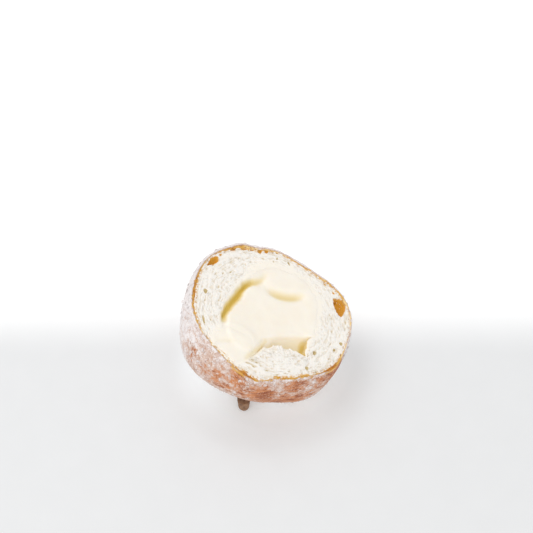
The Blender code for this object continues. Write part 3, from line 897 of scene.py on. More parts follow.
def make_crust():
    """Rings from the inner pole up the inside, over the cut edge, and down the outside."""
    around = turn(CRUST_COLUMNS)
    width = crust_width(around)
    outer_top = CRUST_TOP + clouds(rays(around) * RIM_RADIUS, CRUST_TOP_TEETH) - CRUST_BEVEL
    grow_top = -GLAZE + wrinkles(around, np.full_like(around, CUT_UP))
    up = wall_angles(CRUST_WALL_ROWS, up_at(outer_top, grow_top))
    wide = np.broadcast_to(around, up.shape)
    outside = ball(wide, up, -GLAZE + wrinkles(wide, up), CRUST_FLOORS[1])[::-1]

    inner_up = inside_angles(CRUST_INSIDE_ROWS, up_at(CRUST_INSIDE_TOP, -GLAZE - width))
    inside = ball(around, inner_up, -GLAZE - width, CRUST_FLOORS[0])
    rise, holes, strip_streak = cut_strip(around, width)
    strip = inside[-1] + (outside[0] - inside[-1]) * STRIP_SHARES[..., None] + rise[..., None] * CUT_OUT

    below = ((CUT_UP - up) * BALL_DEPTH)[::-1]
    strip_toast = STRIP_EDGE_TOAST[0] * (1.0 - STRIP_SHARES) + STRIP_EDGE_TOAST[1] * STRIP_SHARES
    blank_inside, blank_outside = (len(inside), 0.0), (len(outside), 0.0)
    parts = {
        "toast": ((len(inside), INSIDE_TOAST), strip_toast, step(BROWNING_START + below / BROWNING_RUN)),
        "streak": (blank_inside, strip_streak, streaks_on(wide, up)[::-1]),
        "pore": (blank_inside, holes, blank_outside),
        "cover": (blank_inside, (len(strip), 0.0), glaze_thickness(wide, up)[::-1]),
    }
    values = {key: all_rows(CRUST_COLUMNS, *grids) for key, grids in parts.items()}
    return ring_piece("crust", np.concatenate((inside, strip, outside)), values, "dough")


crust = make_crust()

# %% [markdown]
# ## The sugar glaze
#
# The dried sugar could be painted on the crust, but its edges stand up and catch the light. So it
# is its own closed shell, with the thickness worked out above. Where that falls below nothing,
# the shell dips under the crust, and the bare crust shows through real holes.

# %% Glaze piece
GLAZE_COLUMNS, GLAZE_WALL_ROWS, GLAZE_INSIDE_ROWS = 690, 116, 7
GLAZE_LIMITS, GLAZE_HIDDEN = (-0.25, 0.75), 0.1  # thicknesses: least and most, and inside
GLAZE_INSIDE, GLAZE_INSIDE_FLOOR, GLAZE_INSIDE_TOP = -GLAZE - 0.3, 0.5, 0.15
GLAZE_TOP, GLAZE_TOP_TEETH = 0.05, (0.3, 1.6, 81, 3)
GLAZE_TOPS = ((120.0, 40.0, 0.3), (-45.0, 6.0, 0.25), (-33.0, 6.0, -0.6))


def make_glaze():
    """Rings from the inner pole up under the sugar, over its ragged rim, and down its outside.
    Gives the piece, the points of its outside and the thickness there."""
    around = turn(GLAZE_COLUMNS)
    top = GLAZE_TOP + clouds(rays(around) * RIM_RADIUS, GLAZE_TOP_TEETH) + bells_round(around, GLAZE_TOPS)
    up = wall_angles(GLAZE_WALL_ROWS, up_at(top))
    wide = np.broadcast_to(around, up.shape)
    thickness = glaze_thickness(wide, up)
    grow = -GLAZE + wrinkles(wide, up) + thickness.clip(*GLAZE_LIMITS)
    outside = ball(wide, up, grow)[::-1]

    inner_up = inside_angles(GLAZE_INSIDE_ROWS, up_at(top - GLAZE_INSIDE_TOP, GLAZE_INSIDE))
    inside = ball(around, inner_up, GLAZE_INSIDE, GLAZE_INSIDE_FLOOR)
    rings = np.concatenate((inside, outside))
    values = {
        "thickness": all_rows(GLAZE_COLUMNS, (len(inside), GLAZE_HIDDEN), thickness[::-1]),
        "rub": all_rows(GLAZE_COLUMNS, (len(inside), 0.0), streaks_on(wide, up)[::-1]),
    }
    return ring_piece("sugar_glaze", rings, values, "dough"), outside, thickness[::-1]


glaze, glaze_skin, glaze_depth = make_glaze()

# %% [markdown]
# ## The cream
#
# The filling is a smooth, stiff vanilla cream. Its top is a soft level a little below the cut,
# with the gap, the fold, the front slope with its notch, and the smeared tongue. Around the rest
# of the hollow it is wiped over the edge of the crumb, so no line shows between the two. It
# could be sculpted by hand, but as a function of place its height fits the crumb's everywhere.
# The piece is a closed skin again: up the bowl, out under the smear, over its thin edge, and back
# across the top to the middle. The smear's edge is buried in the crumb, and the pores of the
# crumb then break up its outline. One attribute holds painted shade: deep yellow in the gap and
# the notch, as light bounced between creamy sides would make them, and paler in the fold, on the
# front slope, in a dent and on the tongue's right side.

# %% Fold, notch and tongue
FOLD_CENTRE, FOLD_HALF, FOLD_DEPTH, FOLD_BEND = (7.2, 9.4), 8.6, 1.5, 0.025
FOLD_WIDTHS = (2.5, 2.0)  # behind the fold's bottom and in front of it
LUMP_LEFT, LUMP_RAMPS = -4.0, (5.0, 3.5)  # its left end, and how softly it starts
NOTCH_FOOT, NOTCH_LEAN, NOTCH_WIDTH = (14.8, -17.0), 0.22, 1.6
NOTCH_BACK, NOTCH_FADE, NOTCH_DEPTH = -8.5, 4.0, 0.4
NOTCH_SOFTNESS, NOTCH_LEAST = 0.7, 0.35  # how softly it starts, and its share at its back end
CREASE_LINE = ((-22.7, -9.2, 0.6), (-18.2, -10.5, 1.0), (-12.4, -12.5, 0.7), (-9.5, -14.5, 0.0))
DENT_LINE = ((-24.0, -17.5, 0.8), (-18.9, -16.9, 1.0), (-14.8, -16.4, 0.4))
CREASE_WIDTH, DENT_WIDTH, CREASE_DEPTH = 1.1, 1.6, 0.35
TONGUE_LIFT, TONGUE_SINK, SINK_FROM, SINK_RUN = 0.1, 0.25, 0.8, 0.2  # its edge is at 1
DIVE, DIVE_FROM, SPREAD_MOST = 4.0, 1.1, 3.0  # past its edge it dives under the crumb


def fold_and_lump(x, y):
    """The share of the fold and of the lump behind it. The fold is a bell across a brink that is
    bent like a bow, and it fades at its two ends."""
    brink = FOLD_CENTRE[1] + FOLD_BEND * (x - FOLD_CENTRE[0]) ** 2
    across = (y - brink) / np.where(y > brink, *FOLD_WIDTHS)
    fold = np.exp(-(((x - FOLD_CENTRE[0]) / FOLD_HALF) ** 4)) * bell(across)
    return fold, step((y - brink) / LUMP_RAMPS[1]) * step((x - LUMP_LEFT) / LUMP_RAMPS[0])


def notch_share(x, y, fall):
    """The share of the deep notch on the right: a bell across a line that leans to the right and
    widens towards the back, only as far as the cream slopes down."""
    behind = y - NOTCH_FOOT[1]
    from_line = x - NOTCH_FOOT[0] - NOTCH_LEAN * behind
    width = (NOTCH_WIDTH + NOTCH_LEAN * behind).clip(NOTCH_WIDTH)
    notch = bell(from_line / width) * step(fall / NOTCH_SOFTNESS)
    return notch * (NOTCH_LEAST + (1.0 - NOTCH_LEAST) * step((NOTCH_BACK - y) / NOTCH_FADE))


def tongue_top(x, y, ground):
    """Height of the smeared tongue: a low dome with a thin edge, and past it a fall that takes it
    under the crumb."""
    spread = np.minimum(tongue_distance(x, y), SPREAD_MOST)
    sunk = TONGUE_SINK * step((spread - SINK_FROM) / SINK_RUN)
    dome = ground + TONGUE_LIFT + TONGUE_THICKNESS * (1.0 - spread**2) - sunk
    return dome - DIVE * (spread - DIVE_FROM).clip(0.0)


def soft_max(first, second, blend):
    """The higher of two heights, with the crease between them filled over that blend: half of
    their sum plus the root of their difference squared plus the blend squared."""
    return 0.5 * (first + second + np.sqrt((first - second) ** 2 + blend**2))


print("Two equal heights with a blend of 1 meet at", soft_max(0.0, 0.0, 1.0))

# %% Cream relief
CREAM_LEVEL, LUMP_RISE = -0.7, 0.6
FRONT_DROP, FRONT_DROP_GAIN = 0.8, 2.0  # on the left, and how much more on the right
DROP_GAIN_FROM, DROP_GAIN_RUN = -7.0, 13.0
CREAM_SWELLS = (0.16, 7.0, 91, 2)
SMEAR_THICKNESS, SMEAR_EDGE, SMEAR_RUN, SMEAR_FRAY = 0.14, 0.45, 3.2, (0.4, 1.4, 93, 2)
CRUMB_TOP = -0.2  # the crumb's middle height without its pores
WIPED_WIDTH, WIPED_LESS = 4.5, 2.0  # how broadly the edge is wiped, and how much less on the slope
JOINT_BLEND, JOINT_RUN = 1.8, 3.0  # how softly the tongue grows out of the level
COVERED_START, COVERED_RUN = 0.2, 0.6  # how the tongue hides the painted shade under it
# painted shade in the fold, the notch and the dent, and how softly it fades out past the wall
FOLD_PAINTED_SHADE, NOTCH_PAINTED_SHADE, DENT_PAINTED_SHADE, PAINTED_SHADE_FADE = 0.45, 0.78, 0.2, 0.4
SLOPE_PAINTED_SHADE, SLOPE_PAINTED_SHADE_GAIN = 0.22, 0.10  # painted shade on the slope: on the left, and how much more on the right
SLOPE_GAIN_FROM, SLOPE_GAIN_RUN = 3.0, 9.0


def cream_level(x, y, from_wall, ground, bare, parts):
    """Height of the cream without its tongue, and how much it is wiped: a level with the lump,
    less the fold, the fall and the notch, blended into the thin smear towards the wall."""
    fold, lump, fall, notch = parts
    flat = np.stack((x, y), axis=-1)
    wiped = bell(from_wall.clip(0.0) / (WIPED_WIDTH - WIPED_LESS * step(fall)))
    wiped = wiped * (1.0 - bare) * (1.0 - notch)
    drop = FRONT_DROP + FRONT_DROP_GAIN * step((x - DROP_GAIN_FROM) / DROP_GAIN_RUN)
    level = CREAM_LEVEL + LUMP_RISE * lump - FOLD_DEPTH * fold - drop * fall - NOTCH_DEPTH * notch
    level = level + clouds(flat, CREAM_SWELLS)
    outside = from_wall < 0.0
    frayed = step(-from_wall / SMEAR_RUN + clouds(flat, SMEAR_FRAY))
    thin = ground + SMEAR_THICKNESS - SMEAR_EDGE * frayed * outside
    beyond, within = thin * (1.0 - bare) + level * bare, level * (1.0 - wiped) + thin * wiped
    return np.where(outside, beyond, within), wiped


def cream_relief(x, y):
    """Height of the cream over the cut, and its painted shade: 1 deep in a gap, 0 in the open."""
    around, from_hollow = about_hollow(x, y)
    from_wall = -from_hollow
    fall = front_fall(x, y)
    fold, lump = fold_and_lump(x, y)
    notch = notch_share(x, y, fall)
    ground = clouds(np.stack((x, y), axis=-1), SWELL) + CRUMB_TOP
    level, wiped = cream_level(x, y, from_wall, ground, open_front(around), (fold, lump, fall, notch))

    tongue = tongue_top(x, y, ground)
    joined = soft_max(level, tongue, JOINT_BLEND * step(from_wall / JOINT_RUN))
    gap, dent = gap_groove(x, y), groove(x, y, DENT_LINE, DENT_WIDTH)
    height = np.where(from_wall < 0.0, np.maximum(tongue, level), joined) - GAP_DEPTH * gap
    height = height - CREASE_DEPTH * groove(x, y, CREASE_LINE, CREASE_WIDTH) - CREASE_DEPTH * dent

    # painted shade on the fold, the slope and the notch, none where the tongue covers them
    covered = step((tongue - level) / COVERED_RUN + COVERED_START)
    slope = SLOPE_PAINTED_SHADE + SLOPE_PAINTED_SHADE_GAIN * step((x - SLOPE_GAIN_FROM) / SLOPE_GAIN_RUN)
    slope = slope * np.sqrt(fall) * (1.0 - wiped)
    painted_shade = np.maximum.reduce((FOLD_PAINTED_SHADE * fold, slope, NOTCH_PAINTED_SHADE * notch)) * (1.0 - covered)
    painted_shade = painted_shade * step(from_wall / PAINTED_SHADE_FADE + 1.0)
    return height, np.maximum.reduce((painted_shade, tongue_flank(x, y), gap, DENT_PAINTED_SHADE * dent))


print("Cream at the hollow's middle:", cream_relief(*np.zeros((2, 1)))[0].round(2), "mm")

# %% Cream piece
CREAM_COLUMNS = 520
WIPED_MIDDLE, WIPED_LEAST, WIPED_EDGE = 1.3, 0.2, (1.4, 5.0, 92, 4)
WIPED_REACHES = ((35.0, 40.0, 0.9), (165.0, 22.0, 2.2))
BARE_REACH = 0.9
PROBE_REACH, PROBE_STEPS = 40.0, 400
CRUST_MARGIN, HELD_BACK, HELD_AROUND, HELD_SPAN = 1.4, 0.9, radians(-127.0), 0.16
BOWL_ROWS, BOWL_TOP, BOWL_GAP, BOWL_BELOW = 12, -0.06, 0.1, 0.5
EDGE_SHARES = np.linspace(1.0, 0.9, 12)  # close rings over the smear's edge
TOP_SHARES = np.linspace(0.9, 0.012, 62)[1:]  # and wider ones to the middle
EDGE_SINKS = (0.9, 0.1)  # how far the first two of them dip into the crumb


def cream_edge(around):
    """How far out the cream reaches: a wiped edge past the hollow, or the end of the tongue, but
    never as far as the crust. A row of probes along each direction finds the tongue's end."""
    unit = rays(around)
    probe = np.linspace(0.0, PROBE_REACH, PROBE_STEPS)[:, None]
    probed = [middle + probe * unit[:, axis] for axis, middle in enumerate(HOLLOW_CENTRE)]
    tongue_reach = np.where(tongue_distance(*probed) < 1.0, probe, 0.0).max(0)
    wiped = WIPED_MIDDLE + clouds(unit * HOLLOW_RADIUS, WIPED_EDGE) + bells_round(around, WIPED_REACHES)
    bare = open_front(around)
    edge = hollow_radius(around) + wiped.clip(WIPED_LEAST) * (1.0 - bare) + BARE_REACH * bare
    edge = np.maximum(edge, tongue_reach)
    held_back = HELD_BACK * bell((around - HELD_AROUND) / HELD_SPAN)
    return np.minimum(edge, rim_radius(around, -GLAZE - CRUST_MARGIN) - held_back)


def make_cream():
    """Rings up the bowl, out under the smear, over its edge and back in to the middle."""
    around = turn(CREAM_COLUMNS)
    unit, centre = rays(around), np.array(HOLLOW_CENTRE)
    up = np.linspace(-pi / 2, BOWL_TOP, BOWL_ROWS)[:, None]
    bowl_reach = (hollow_radius(around) - BOWL_GAP) * np.cos(up).clip(0.0) ** HOLLOW_STEEPNESS
    flat = centre + bowl_reach[..., None] * unit
    under = cream_relief(flat[..., 0], flat[..., 1])[0] - BOWL_BELOW
    bowl = to_world(flat[..., 0], flat[..., 1], np.minimum(HOLLOW_DEPTH * np.sin(up), under))

    share = np.concatenate((EDGE_SHARES, TOP_SHARES))[:, None]
    over = centre + (cream_edge(around) * share)[..., None] * unit
    height, painted_shade = cream_relief(over[..., 0], over[..., 1])
    height[:2] -= np.array(EDGE_SINKS)[:, None]
    top = to_world(over[..., 0], over[..., 1], height)
    values = {"painted_shade": all_rows(CREAM_COLUMNS, (len(bowl), 0.0), painted_shade)}
    return ring_piece("cream", np.concatenate((bowl, top)), values, "cream")


cream = make_cream()

# %% [markdown]
# ## The stub
#
# A short browned stub stands under the front left edge. It is a small taper of dry crumb with a
# rounded foot and a rough, speckled skin. A plain cylinder would look turned on a lathe, so rings
# up a rounded profile give the shape, and noise roughens it. Its top stops just below the ball's
# underside, which is found from the sugar's own points over it.

# %% Stub piece
STUB_PLACE = (-10.0, -22.9)
STUB_RADII, STUB_HEIGHT, STUB_ROUNDING = (2.3, 2.9), 5.8, 0.6
STUB_COLUMNS = 72
STUB_ROUGHNESS, STUB_GRAIN = 0.22, (1.0, 1.6, 95, 3)
STUB_GAP = 0.05
UNDERSIDE_FROM_ROW, UNDERSIDE_REACH = 60, 3.6


def stub_profile():
    """How far out and how high each ring lies: a quarter circle, a taper, and a flat top."""
    bend = np.linspace(0.0, pi / 2, 10)
    share = np.linspace(0.0, 1.0, 34)[1:]
    foot_out = STUB_RADII[0] - STUB_ROUNDING * (1.0 - np.sin(bend))
    foot_up = STUB_ROUNDING * (1.0 - np.cos(bend))
    side_out = STUB_RADII[0] + (STUB_RADII[1] - STUB_RADII[0]) * share
    side_up = STUB_ROUNDING + (STUB_HEIGHT - STUB_ROUNDING) * share
    cap_out = STUB_RADII[1] * np.linspace(1.0, 0.1, 10)[1:]
    out = np.concatenate((foot_out, side_out, cap_out))
    return out[:, None], np.concatenate((foot_up, side_up, np.full(len(cap_out), STUB_HEIGHT)))[:, None]


def underside_over(x, y):
    """The height of the nearest point of the sugar's underside over each place."""
    skin = glaze_skin[UNDERSIDE_FROM_ROW:].reshape(-1, 3)
    near = np.hypot(skin[:, 0] - STUB_PLACE[0], skin[:, 1] - STUB_PLACE[1]) < UNDERSIDE_REACH
    skin = skin[near]
    away = np.hypot(x[..., None] - skin[:, 0], y[..., None] - skin[:, 1])
    return skin[:, 2][away.argmin(-1)]


def make_stub():
    """Rings of the profile, pushed in and out by noise and cut off below the ball."""
    around = turn(STUB_COLUMNS)
    out, profile_up = stub_profile()
    height = all_rows(STUB_COLUMNS, profile_up)
    places = np.stack((out * np.cos(around), out * np.sin(around), height), axis=-1)
    rough = clouds(places, STUB_GRAIN)
    reach = out + STUB_ROUGHNESS * rough
    x = STUB_PLACE[0] + reach * np.cos(around)
    y = STUB_PLACE[1] + reach * np.sin(around)
    height = np.minimum(height, underside_over(x, y) - STUB_GAP)
    rings = np.stack((x, y, height), axis=-1)[::-1]
    return ring_piece("stub_crumb", rings, {"rough": rough[::-1]}, "stub")


stub = make_stub()

# %% [markdown]
# ## Loose sugar flakes and crumbs
#
# Dry glaze sheds flakes, and the knife leaves crumbs along the cut edge. Both are scattered
# shapes of a few faces each, joined to one mesh of each kind, because hundreds of separate
# objects would be slow and no better. A flake is a ragged plate that leans a little off the
# wall, and a crumb is a dented lump.

# %% Scatter helpers
SEED = 7
draw = np.random.default_rng(SEED)


def unit_length(directions):
    """The same directions with a length of 1."""
    return directions / np.linalg.norm(directions, axis=1, keepdims=True)


def frames_for(normals):
    """Two directions across each normal, turned at random."""
    helper = np.where(np.abs(normals[:, 2:]) < 0.9, (0.0, 0.0, 1.0), (1.0, 0.0, 0.0))
    first = unit_length(np.cross(normals, helper))
    second = np.cross(normals, first)
    angle = draw.uniform(0.0, tau, (len(normals), 1))
    return np.cos(angle) * first + np.sin(angle) * second, np.cos(angle) * second - np.sin(angle) * first


def scatter(name, shapes, faces, values):
    """Joins copies of one small shape, whose points are already in place, to one mesh."""
    count, corners = shapes.shape[:2]
    joined = (np.arange(count)[:, None, None] * corners + np.array(faces)).reshape(-1, len(faces[0]))
    spread = {key: np.repeat(number, corners) for key, number in values.items()}
    return new_piece(name, shapes.reshape(-1, 3), joined.tolist(), spread, "dough")


print("The scatter draws start from seed", SEED)

# %% Sugar flakes
FLAKES, FLAKE_SIDES = 2600, 6
FLAKE_ROWS, FLAKE_CROWDING = 100, 1.2  # the rows they lie on, and how they crowd to the cut
FLAKE_LEAN = 0.36
FLAKE_SIZES, FLAKE_RAGGED = (0.2, 0.5), (0.6, 1.15)
LARGE_SHARE, LARGE_TIMES = 0.12, 2.2
FLAKE_TWIST = 0.35
FLAKE_THICKNESSES = (0.05, 0.12)
FLAKE_LIFT, FLAKE_LOWEST = 0.06, 0.02
SUGARED = 0.02  # flakes lie only where the sugar is thicker than this
FLAKE_TINT = (0.6, 0.18)  # what a flake's colour takes from the sugar under it, and adds


def flake_places():
    """Places on the sugar's skin, how thick it is there, and the leaning normals of the flakes:
    the cross product of the steps down and along the skin, with a random lean."""
    columns = glaze_skin.shape[1]
    row = (draw.random(4 * FLAKES) ** FLAKE_CROWDING * FLAKE_ROWS).astype(int) + 2
    column = draw.integers(0, columns, 4 * FLAKES)
    sugared = glaze_depth[row, column] > SUGARED
    row, column = row[sugared][:FLAKES], column[sugared][:FLAKES]
    along = glaze_skin[row, (column + 2) % columns] - glaze_skin[row, column - 2]
    down = glaze_skin[row + 2, column] - glaze_skin[row - 2, column]
    leaning = unit_length(np.cross(down, along)) + draw.normal(0.0, FLAKE_LEAN, (FLAKES, 3))
    return glaze_skin[row, column], glaze_depth[row, column], unit_length(leaning)


def flake_faces():
    """Triangles from the middle to the ring above, down the side and to the middle below."""
    faces = []
    for side in range(FLAKE_SIDES):
        a, b = 1 + side, 1 + (side + 1) % FLAKE_SIDES
        below_a, below_b = a + FLAKE_SIDES, b + FLAKE_SIDES
        faces += [(0, a, b), (a, below_a, b), (b, below_a, below_b), (2 * FLAKE_SIDES + 1, below_b, below_a)]
    return faces


def make_flakes():
    """Ragged plates on the wall: a middle point and a ring above, the same below."""
    place, depth, normal = flake_places()
    first, second = frames_for(normal)
    size = draw.uniform(*FLAKE_SIZES, (FLAKES, 1))
    size = size * np.where(draw.random((FLAKES, 1)) < LARGE_SHARE, LARGE_TIMES, 1.0)
    angles = np.linspace(0.0, tau, FLAKE_SIDES, endpoint=False)
    angles = angles + draw.uniform(-FLAKE_TWIST, FLAKE_TWIST, (FLAKES, FLAKE_SIDES))
    reach = size * draw.uniform(*FLAKE_RAGGED, (FLAKES, FLAKE_SIDES))
    aside, ahead = (reach * np.cos(angles))[..., None], (reach * np.sin(angles))[..., None]
    ring = aside * first[:, None] + ahead * second[:, None]
    thick = draw.uniform(*FLAKE_THICKNESSES, (FLAKES, 1, 1)) * normal[:, None]
    middle = (place + FLAKE_LIFT * normal)[:, None]
    levels = (middle + thick, middle + ring + 0.5 * thick, middle + ring - 0.5 * thick, middle - thick)
    shapes = np.concatenate(levels, axis=1)
    shapes[..., 2] += (FLAKE_LOWEST - shapes[..., 2].min(1)).clip(0.0)[:, None]
    tint = FLAKE_TINT[0] * depth + FLAKE_TINT[1]
    return scatter("sugar_flakes", shapes, flake_faces(), {"thickness": tint})


flakes = make_flakes()

# %% Crust crumbs along the cut
GOLDEN = (1.0 + 5.0**0.5) / 2.0
CRUMBS, CRUMB_SIZES, CRUMB_DENTS = 420, (0.10, 0.30), (0.65, 1.2)
CRUMB_TOAST = (0.9, 0.8, 0.25)  # at the crust, less for each millimetre inward, and its spread
CRUMB_SEAT = 0.4  # how high a crumb's middle lies, in its own sizes
POCKET_BELOW, SUNK_TO = -1.0, -3.0  # crumbs over a deep pore are sunk out of sight


def lump_shape():
    """Twelve corners of three crossed golden rectangles, on a ball of radius 1, and the twenty
    triangles between corners that lie one edge apart, turned to face out."""
    corners = [
        np.roll((short, long, 0.0), axis)
        for axis in range(3)
        for long in (GOLDEN, -GOLDEN)
        for short in (-1.0, 1.0)
    ]
    corners = np.array(corners) / np.hypot(1.0, GOLDEN)
    edge = 2.0 / np.hypot(1.0, GOLDEN)
    faces = []
    for face in combinations(range(len(corners)), 3):
        sides = np.linalg.norm(corners[list(face)] - corners[list(np.roll(face, 1))], axis=1)
        if np.allclose(sides, edge):
            outward = np.linalg.det(corners[list(face)]) > 0.0
            faces.append(face if outward else face[::-1])
    return corners, faces


LUMP_POINTS, LUMP_FACES = lump_shape()


def make_crumbs():
    """Dented twelve-cornered lumps on the cut, most of them close to the crust."""
    around = draw.uniform(-pi, pi, CRUMBS)
    inward = np.abs(draw.normal(0.0, 1.0, CRUMBS))
    edge = rim_radius(around, -GLAZE) - crust_width(around)
    x, y = (edge - inward) * np.cos(around), (edge - inward) * np.sin(around)
    height = crumb_relief(x, y)[0]
    height = np.where(height < POCKET_BELOW, SUNK_TO, height)
    size = draw.uniform(*CRUMB_SIZES, (CRUMBS, 1, 1))
    lump = LUMP_POINTS * draw.uniform(*CRUMB_DENTS, (CRUMBS, len(LUMP_POINTS), 1)) * size
    first, second = frames_for(np.broadcast_to(CUT_OUT, (CRUMBS, 3)))
    place = to_world(x, y, height + CRUMB_SEAT * size[:, 0, 0])
    aside, ahead, lift = (lump[..., axis, None] for axis in range(3))
    shapes = place[:, None] + aside * first[:, None] + ahead * second[:, None] + lift * CUT_OUT
    most, less, spread = CRUMB_TOAST
    toast = (most - less * inward + draw.normal(0.0, spread, CRUMBS)).clip(0.0, 1.0)
    return scatter("cut_crumbs", shapes, LUMP_FACES, {"toast": toast})


cut_crumbs = make_crumbs()

# %% [markdown]
# ## Shared material effects
#
# Three effects come back in several materials, so each is a node group that is built once. The
# first is a fine grain: noise of a real size in millimetres that gives a mask and a height. The
# second turns any value into a mask between two limits. The third lets a colour wander a little
# towards another, so that no surface is one flat colour.


# %% Node helpers
def srgb(red, green, blue):
    """A colour picked on screen, 0 to 255, as the linear numbers that Blender's shaders use."""
    channel = np.array((red, green, blue)) / 255.0
    linear = np.where(channel <= 0.04045, channel / 12.92, ((channel + 0.055) / 1.055) ** 2.4)
    return (*linear.tolist(), 1.0)


def add(tree, kind, values=None, **settings):
    """A new node of a kind, with its settings, and with values or links for its sockets. The
    settings come first, because some of them decide which sockets the node has."""
    made = tree.nodes.new(kind)
    for key, setting in settings.items():
        setattr(made, key, setting)
    for key, value in (values or {}).items():
        if isinstance(value, bpy.types.NodeSocket):
            tree.links.new(value, made.inputs[key])
        else:
            made.inputs[key].default_value = value
    return made


def maths(tree, operation, *values, **settings):
    """The result of one operation on numbers or sockets."""
    return add(tree, "ShaderNodeMath", dict(enumerate(values)), operation=operation, **settings).outputs[0]


def new_group(name, inputs, outputs):
    """An empty node group with named sockets: its tree, the sockets given to it, and its output
    node. A number makes a number socket, and four of them make a colour socket."""
    tree = bpy.data.node_groups.new(name, "ShaderNodeTree")
    for label, value in inputs.items():
        kind = "NodeSocketFloat" if isinstance(value, float) else "NodeSocketColor"
        tree.interface.new_socket(label, in_out="INPUT", socket_type=kind).default_value = value
    for label, kind in outputs.items():
        tree.interface.new_socket(label, in_out="OUTPUT", socket_type=kind)
    return tree, tree.nodes.new("NodeGroupInput").outputs, tree.nodes.new("NodeGroupOutput")


print("Mid grey on screen is", round(srgb(128, 128, 128)[0], 3), "in a shader")


# %% Node groups
MIX_FROM, MIX_TO, MIX_RESULT = 6, 7, 2  # a Mix node's colour sockets, which share their names


def make_fine_grain():
    """Noise whose size is in millimetres: a mask about 0.5 and the same as a height."""
    outputs = {"Mask": "NodeSocketFloat", "Height": "NodeSocketFloat"}
    tree, given, out = new_group("fine_grain", {"Size": 1.0, "Roughness": 0.6}, outputs)
    place = add(tree, "ShaderNodeTexCoord").outputs["Object"]
    scale = maths(tree, "DIVIDE", 1.0 / MM, given["Size"])
    settings = {"Vector": place, "Scale": scale, "Detail": 4.0, "Roughness": given["Roughness"]}
    noise = add(tree, "ShaderNodeTexNoise", settings).outputs["Fac"]
    wide = add(tree, "ShaderNodeMapRange", {"Value": noise, "From Min": 0.3, "From Max": 0.7})
    tree.links.new(wide.outputs["Result"], out.inputs["Mask"])
    tree.links.new(noise, out.inputs["Height"])
    return tree


def make_between():
    """A mask that climbs softly from 0 at one limit to 1 at the other."""
    inputs = {"Value": 0.0, "Low": 0.0, "High": 1.0}
    tree, given, out = new_group("between", inputs, {"Mask": "NodeSocketFloat"})
    limits = {"Value": given["Value"], "From Min": given["Low"], "From Max": given["High"]}
    ramp = add(tree, "ShaderNodeMapRange", limits, interpolation_type="SMOOTHSTEP")
    tree.links.new(ramp.outputs["Result"], out.inputs["Mask"])
    return tree


def make_wander():
    """A colour that moves towards another by a share of a mask."""
    white = (1.0, 1.0, 1.0, 1.0)
    inputs = {"Colour": white, "Towards": white, "Mask": 0.5, "Share": 1.0}
    tree, given, out = new_group("wander", inputs, {"Colour": "NodeSocketColor"})
    part = maths(tree, "MULTIPLY", given["Mask"], given["Share"], use_clamp=True)
    ends = {0: part, MIX_FROM: given["Colour"], MIX_TO: given["Towards"]}
    mix = add(tree, "ShaderNodeMix", ends, data_type="RGBA")
    tree.links.new(mix.outputs[MIX_RESULT], out.inputs["Colour"])
    return tree


FINE_GRAIN, BETWEEN, WANDER = make_fine_grain(), make_between(), make_wander()
print("Node groups:", [group.name for group in bpy.data.node_groups])

# %% [markdown]
# ## Materials
#
# Each finish starts from the attributes that its piece carries, adds grain of the right size, and
# ends in one Principled shader. Colours were picked from a daylight picture of such a
# doughnut: the crumb is a warm white, the cream a pale vanilla, the crust a red-brown that turns
# golden at the cut, and the glaze a cool white that goes pink where the crust shows through.
# A finish is written as a first colour with layers over it. Each layer holds its colour, the mask
# that says where it lies, and the share of it that shows where the mask is full.


# %% Material helpers
def use(tree, group, **values):
    """Places a node group in a material and gives its output sockets."""
    return add(tree, "ShaderNodeGroup", values, node_tree=group).outputs


def grain_of(tree, size, roughness):
    """The mask and the height of fine grain of a size in millimetres."""
    made = use(tree, FINE_GRAIN, Size=size, Roughness=roughness)
    return made["Mask"], made["Height"]


def attribute(tree, name):
    """The socket that reads one of a piece's own numbers."""
    return add(tree, "ShaderNodeAttribute", attribute_name=name).outputs["Fac"]


def between(tree, value, low, high):
    """A mask that is 0 where the value is at the low limit and 1 where it is at the high one."""
    return use(tree, BETWEEN, Value=value, Low=low, High=high)["Mask"]


def layered(tree, colour, *layers):
    """A colour with others laid over it in turn: each row holds a colour, its mask and share."""
    for towards, mask, share in layers:
        colour = use(tree, WANDER, Colour=colour, Towards=towards, Mask=mask, Share=share)["Colour"]
    return colour


def new_finish(name, **constants):
    """A material with one Principled shader, whose constant sockets are set on the shader."""
    made = bpy.data.materials.new(name)
    made.use_nodes = True
    shader = made.node_tree.nodes["Principled BSDF"]
    for key, value in constants.items():
        shader.inputs[key.replace("_", " ").title()].default_value = value
    return made, made.node_tree


def dress(made, colour, height=None, strength=0.0, distance=0.0):
    """Links a colour to the shader, and a height as small relief of that many millimetres."""
    tree, shader = made.node_tree, made.node_tree.nodes["Principled BSDF"]
    tree.links.new(colour, shader.inputs["Base Color"])
    if height is not None:
        values = {"Height": height, "Strength": strength, "Distance": distance * MM}
        tree.links.new(add(tree, "ShaderNodeBump", values).outputs["Normal"], shader.inputs["Normal"])
    return made


def painted_shade_layers(tree):
    """Two layers of painted shade, as yellow as light bounced between creamy sides: pale, then deep."""
    # painted shade: pale yellow in shallow creases, deep yellow in the gap and the notch
    painted_shade = attribute(tree, "painted_shade")
    pale = (srgb(238, 218, 164), between(tree, painted_shade, 0.05, 0.5), 0.95)
    return pale, (srgb(218, 184, 76), between(tree, painted_shade, 0.35, 1.0), 1.0)


print("Each layer goes through", WANDER.name, [item.name for item in WANDER.interface.items_tree])


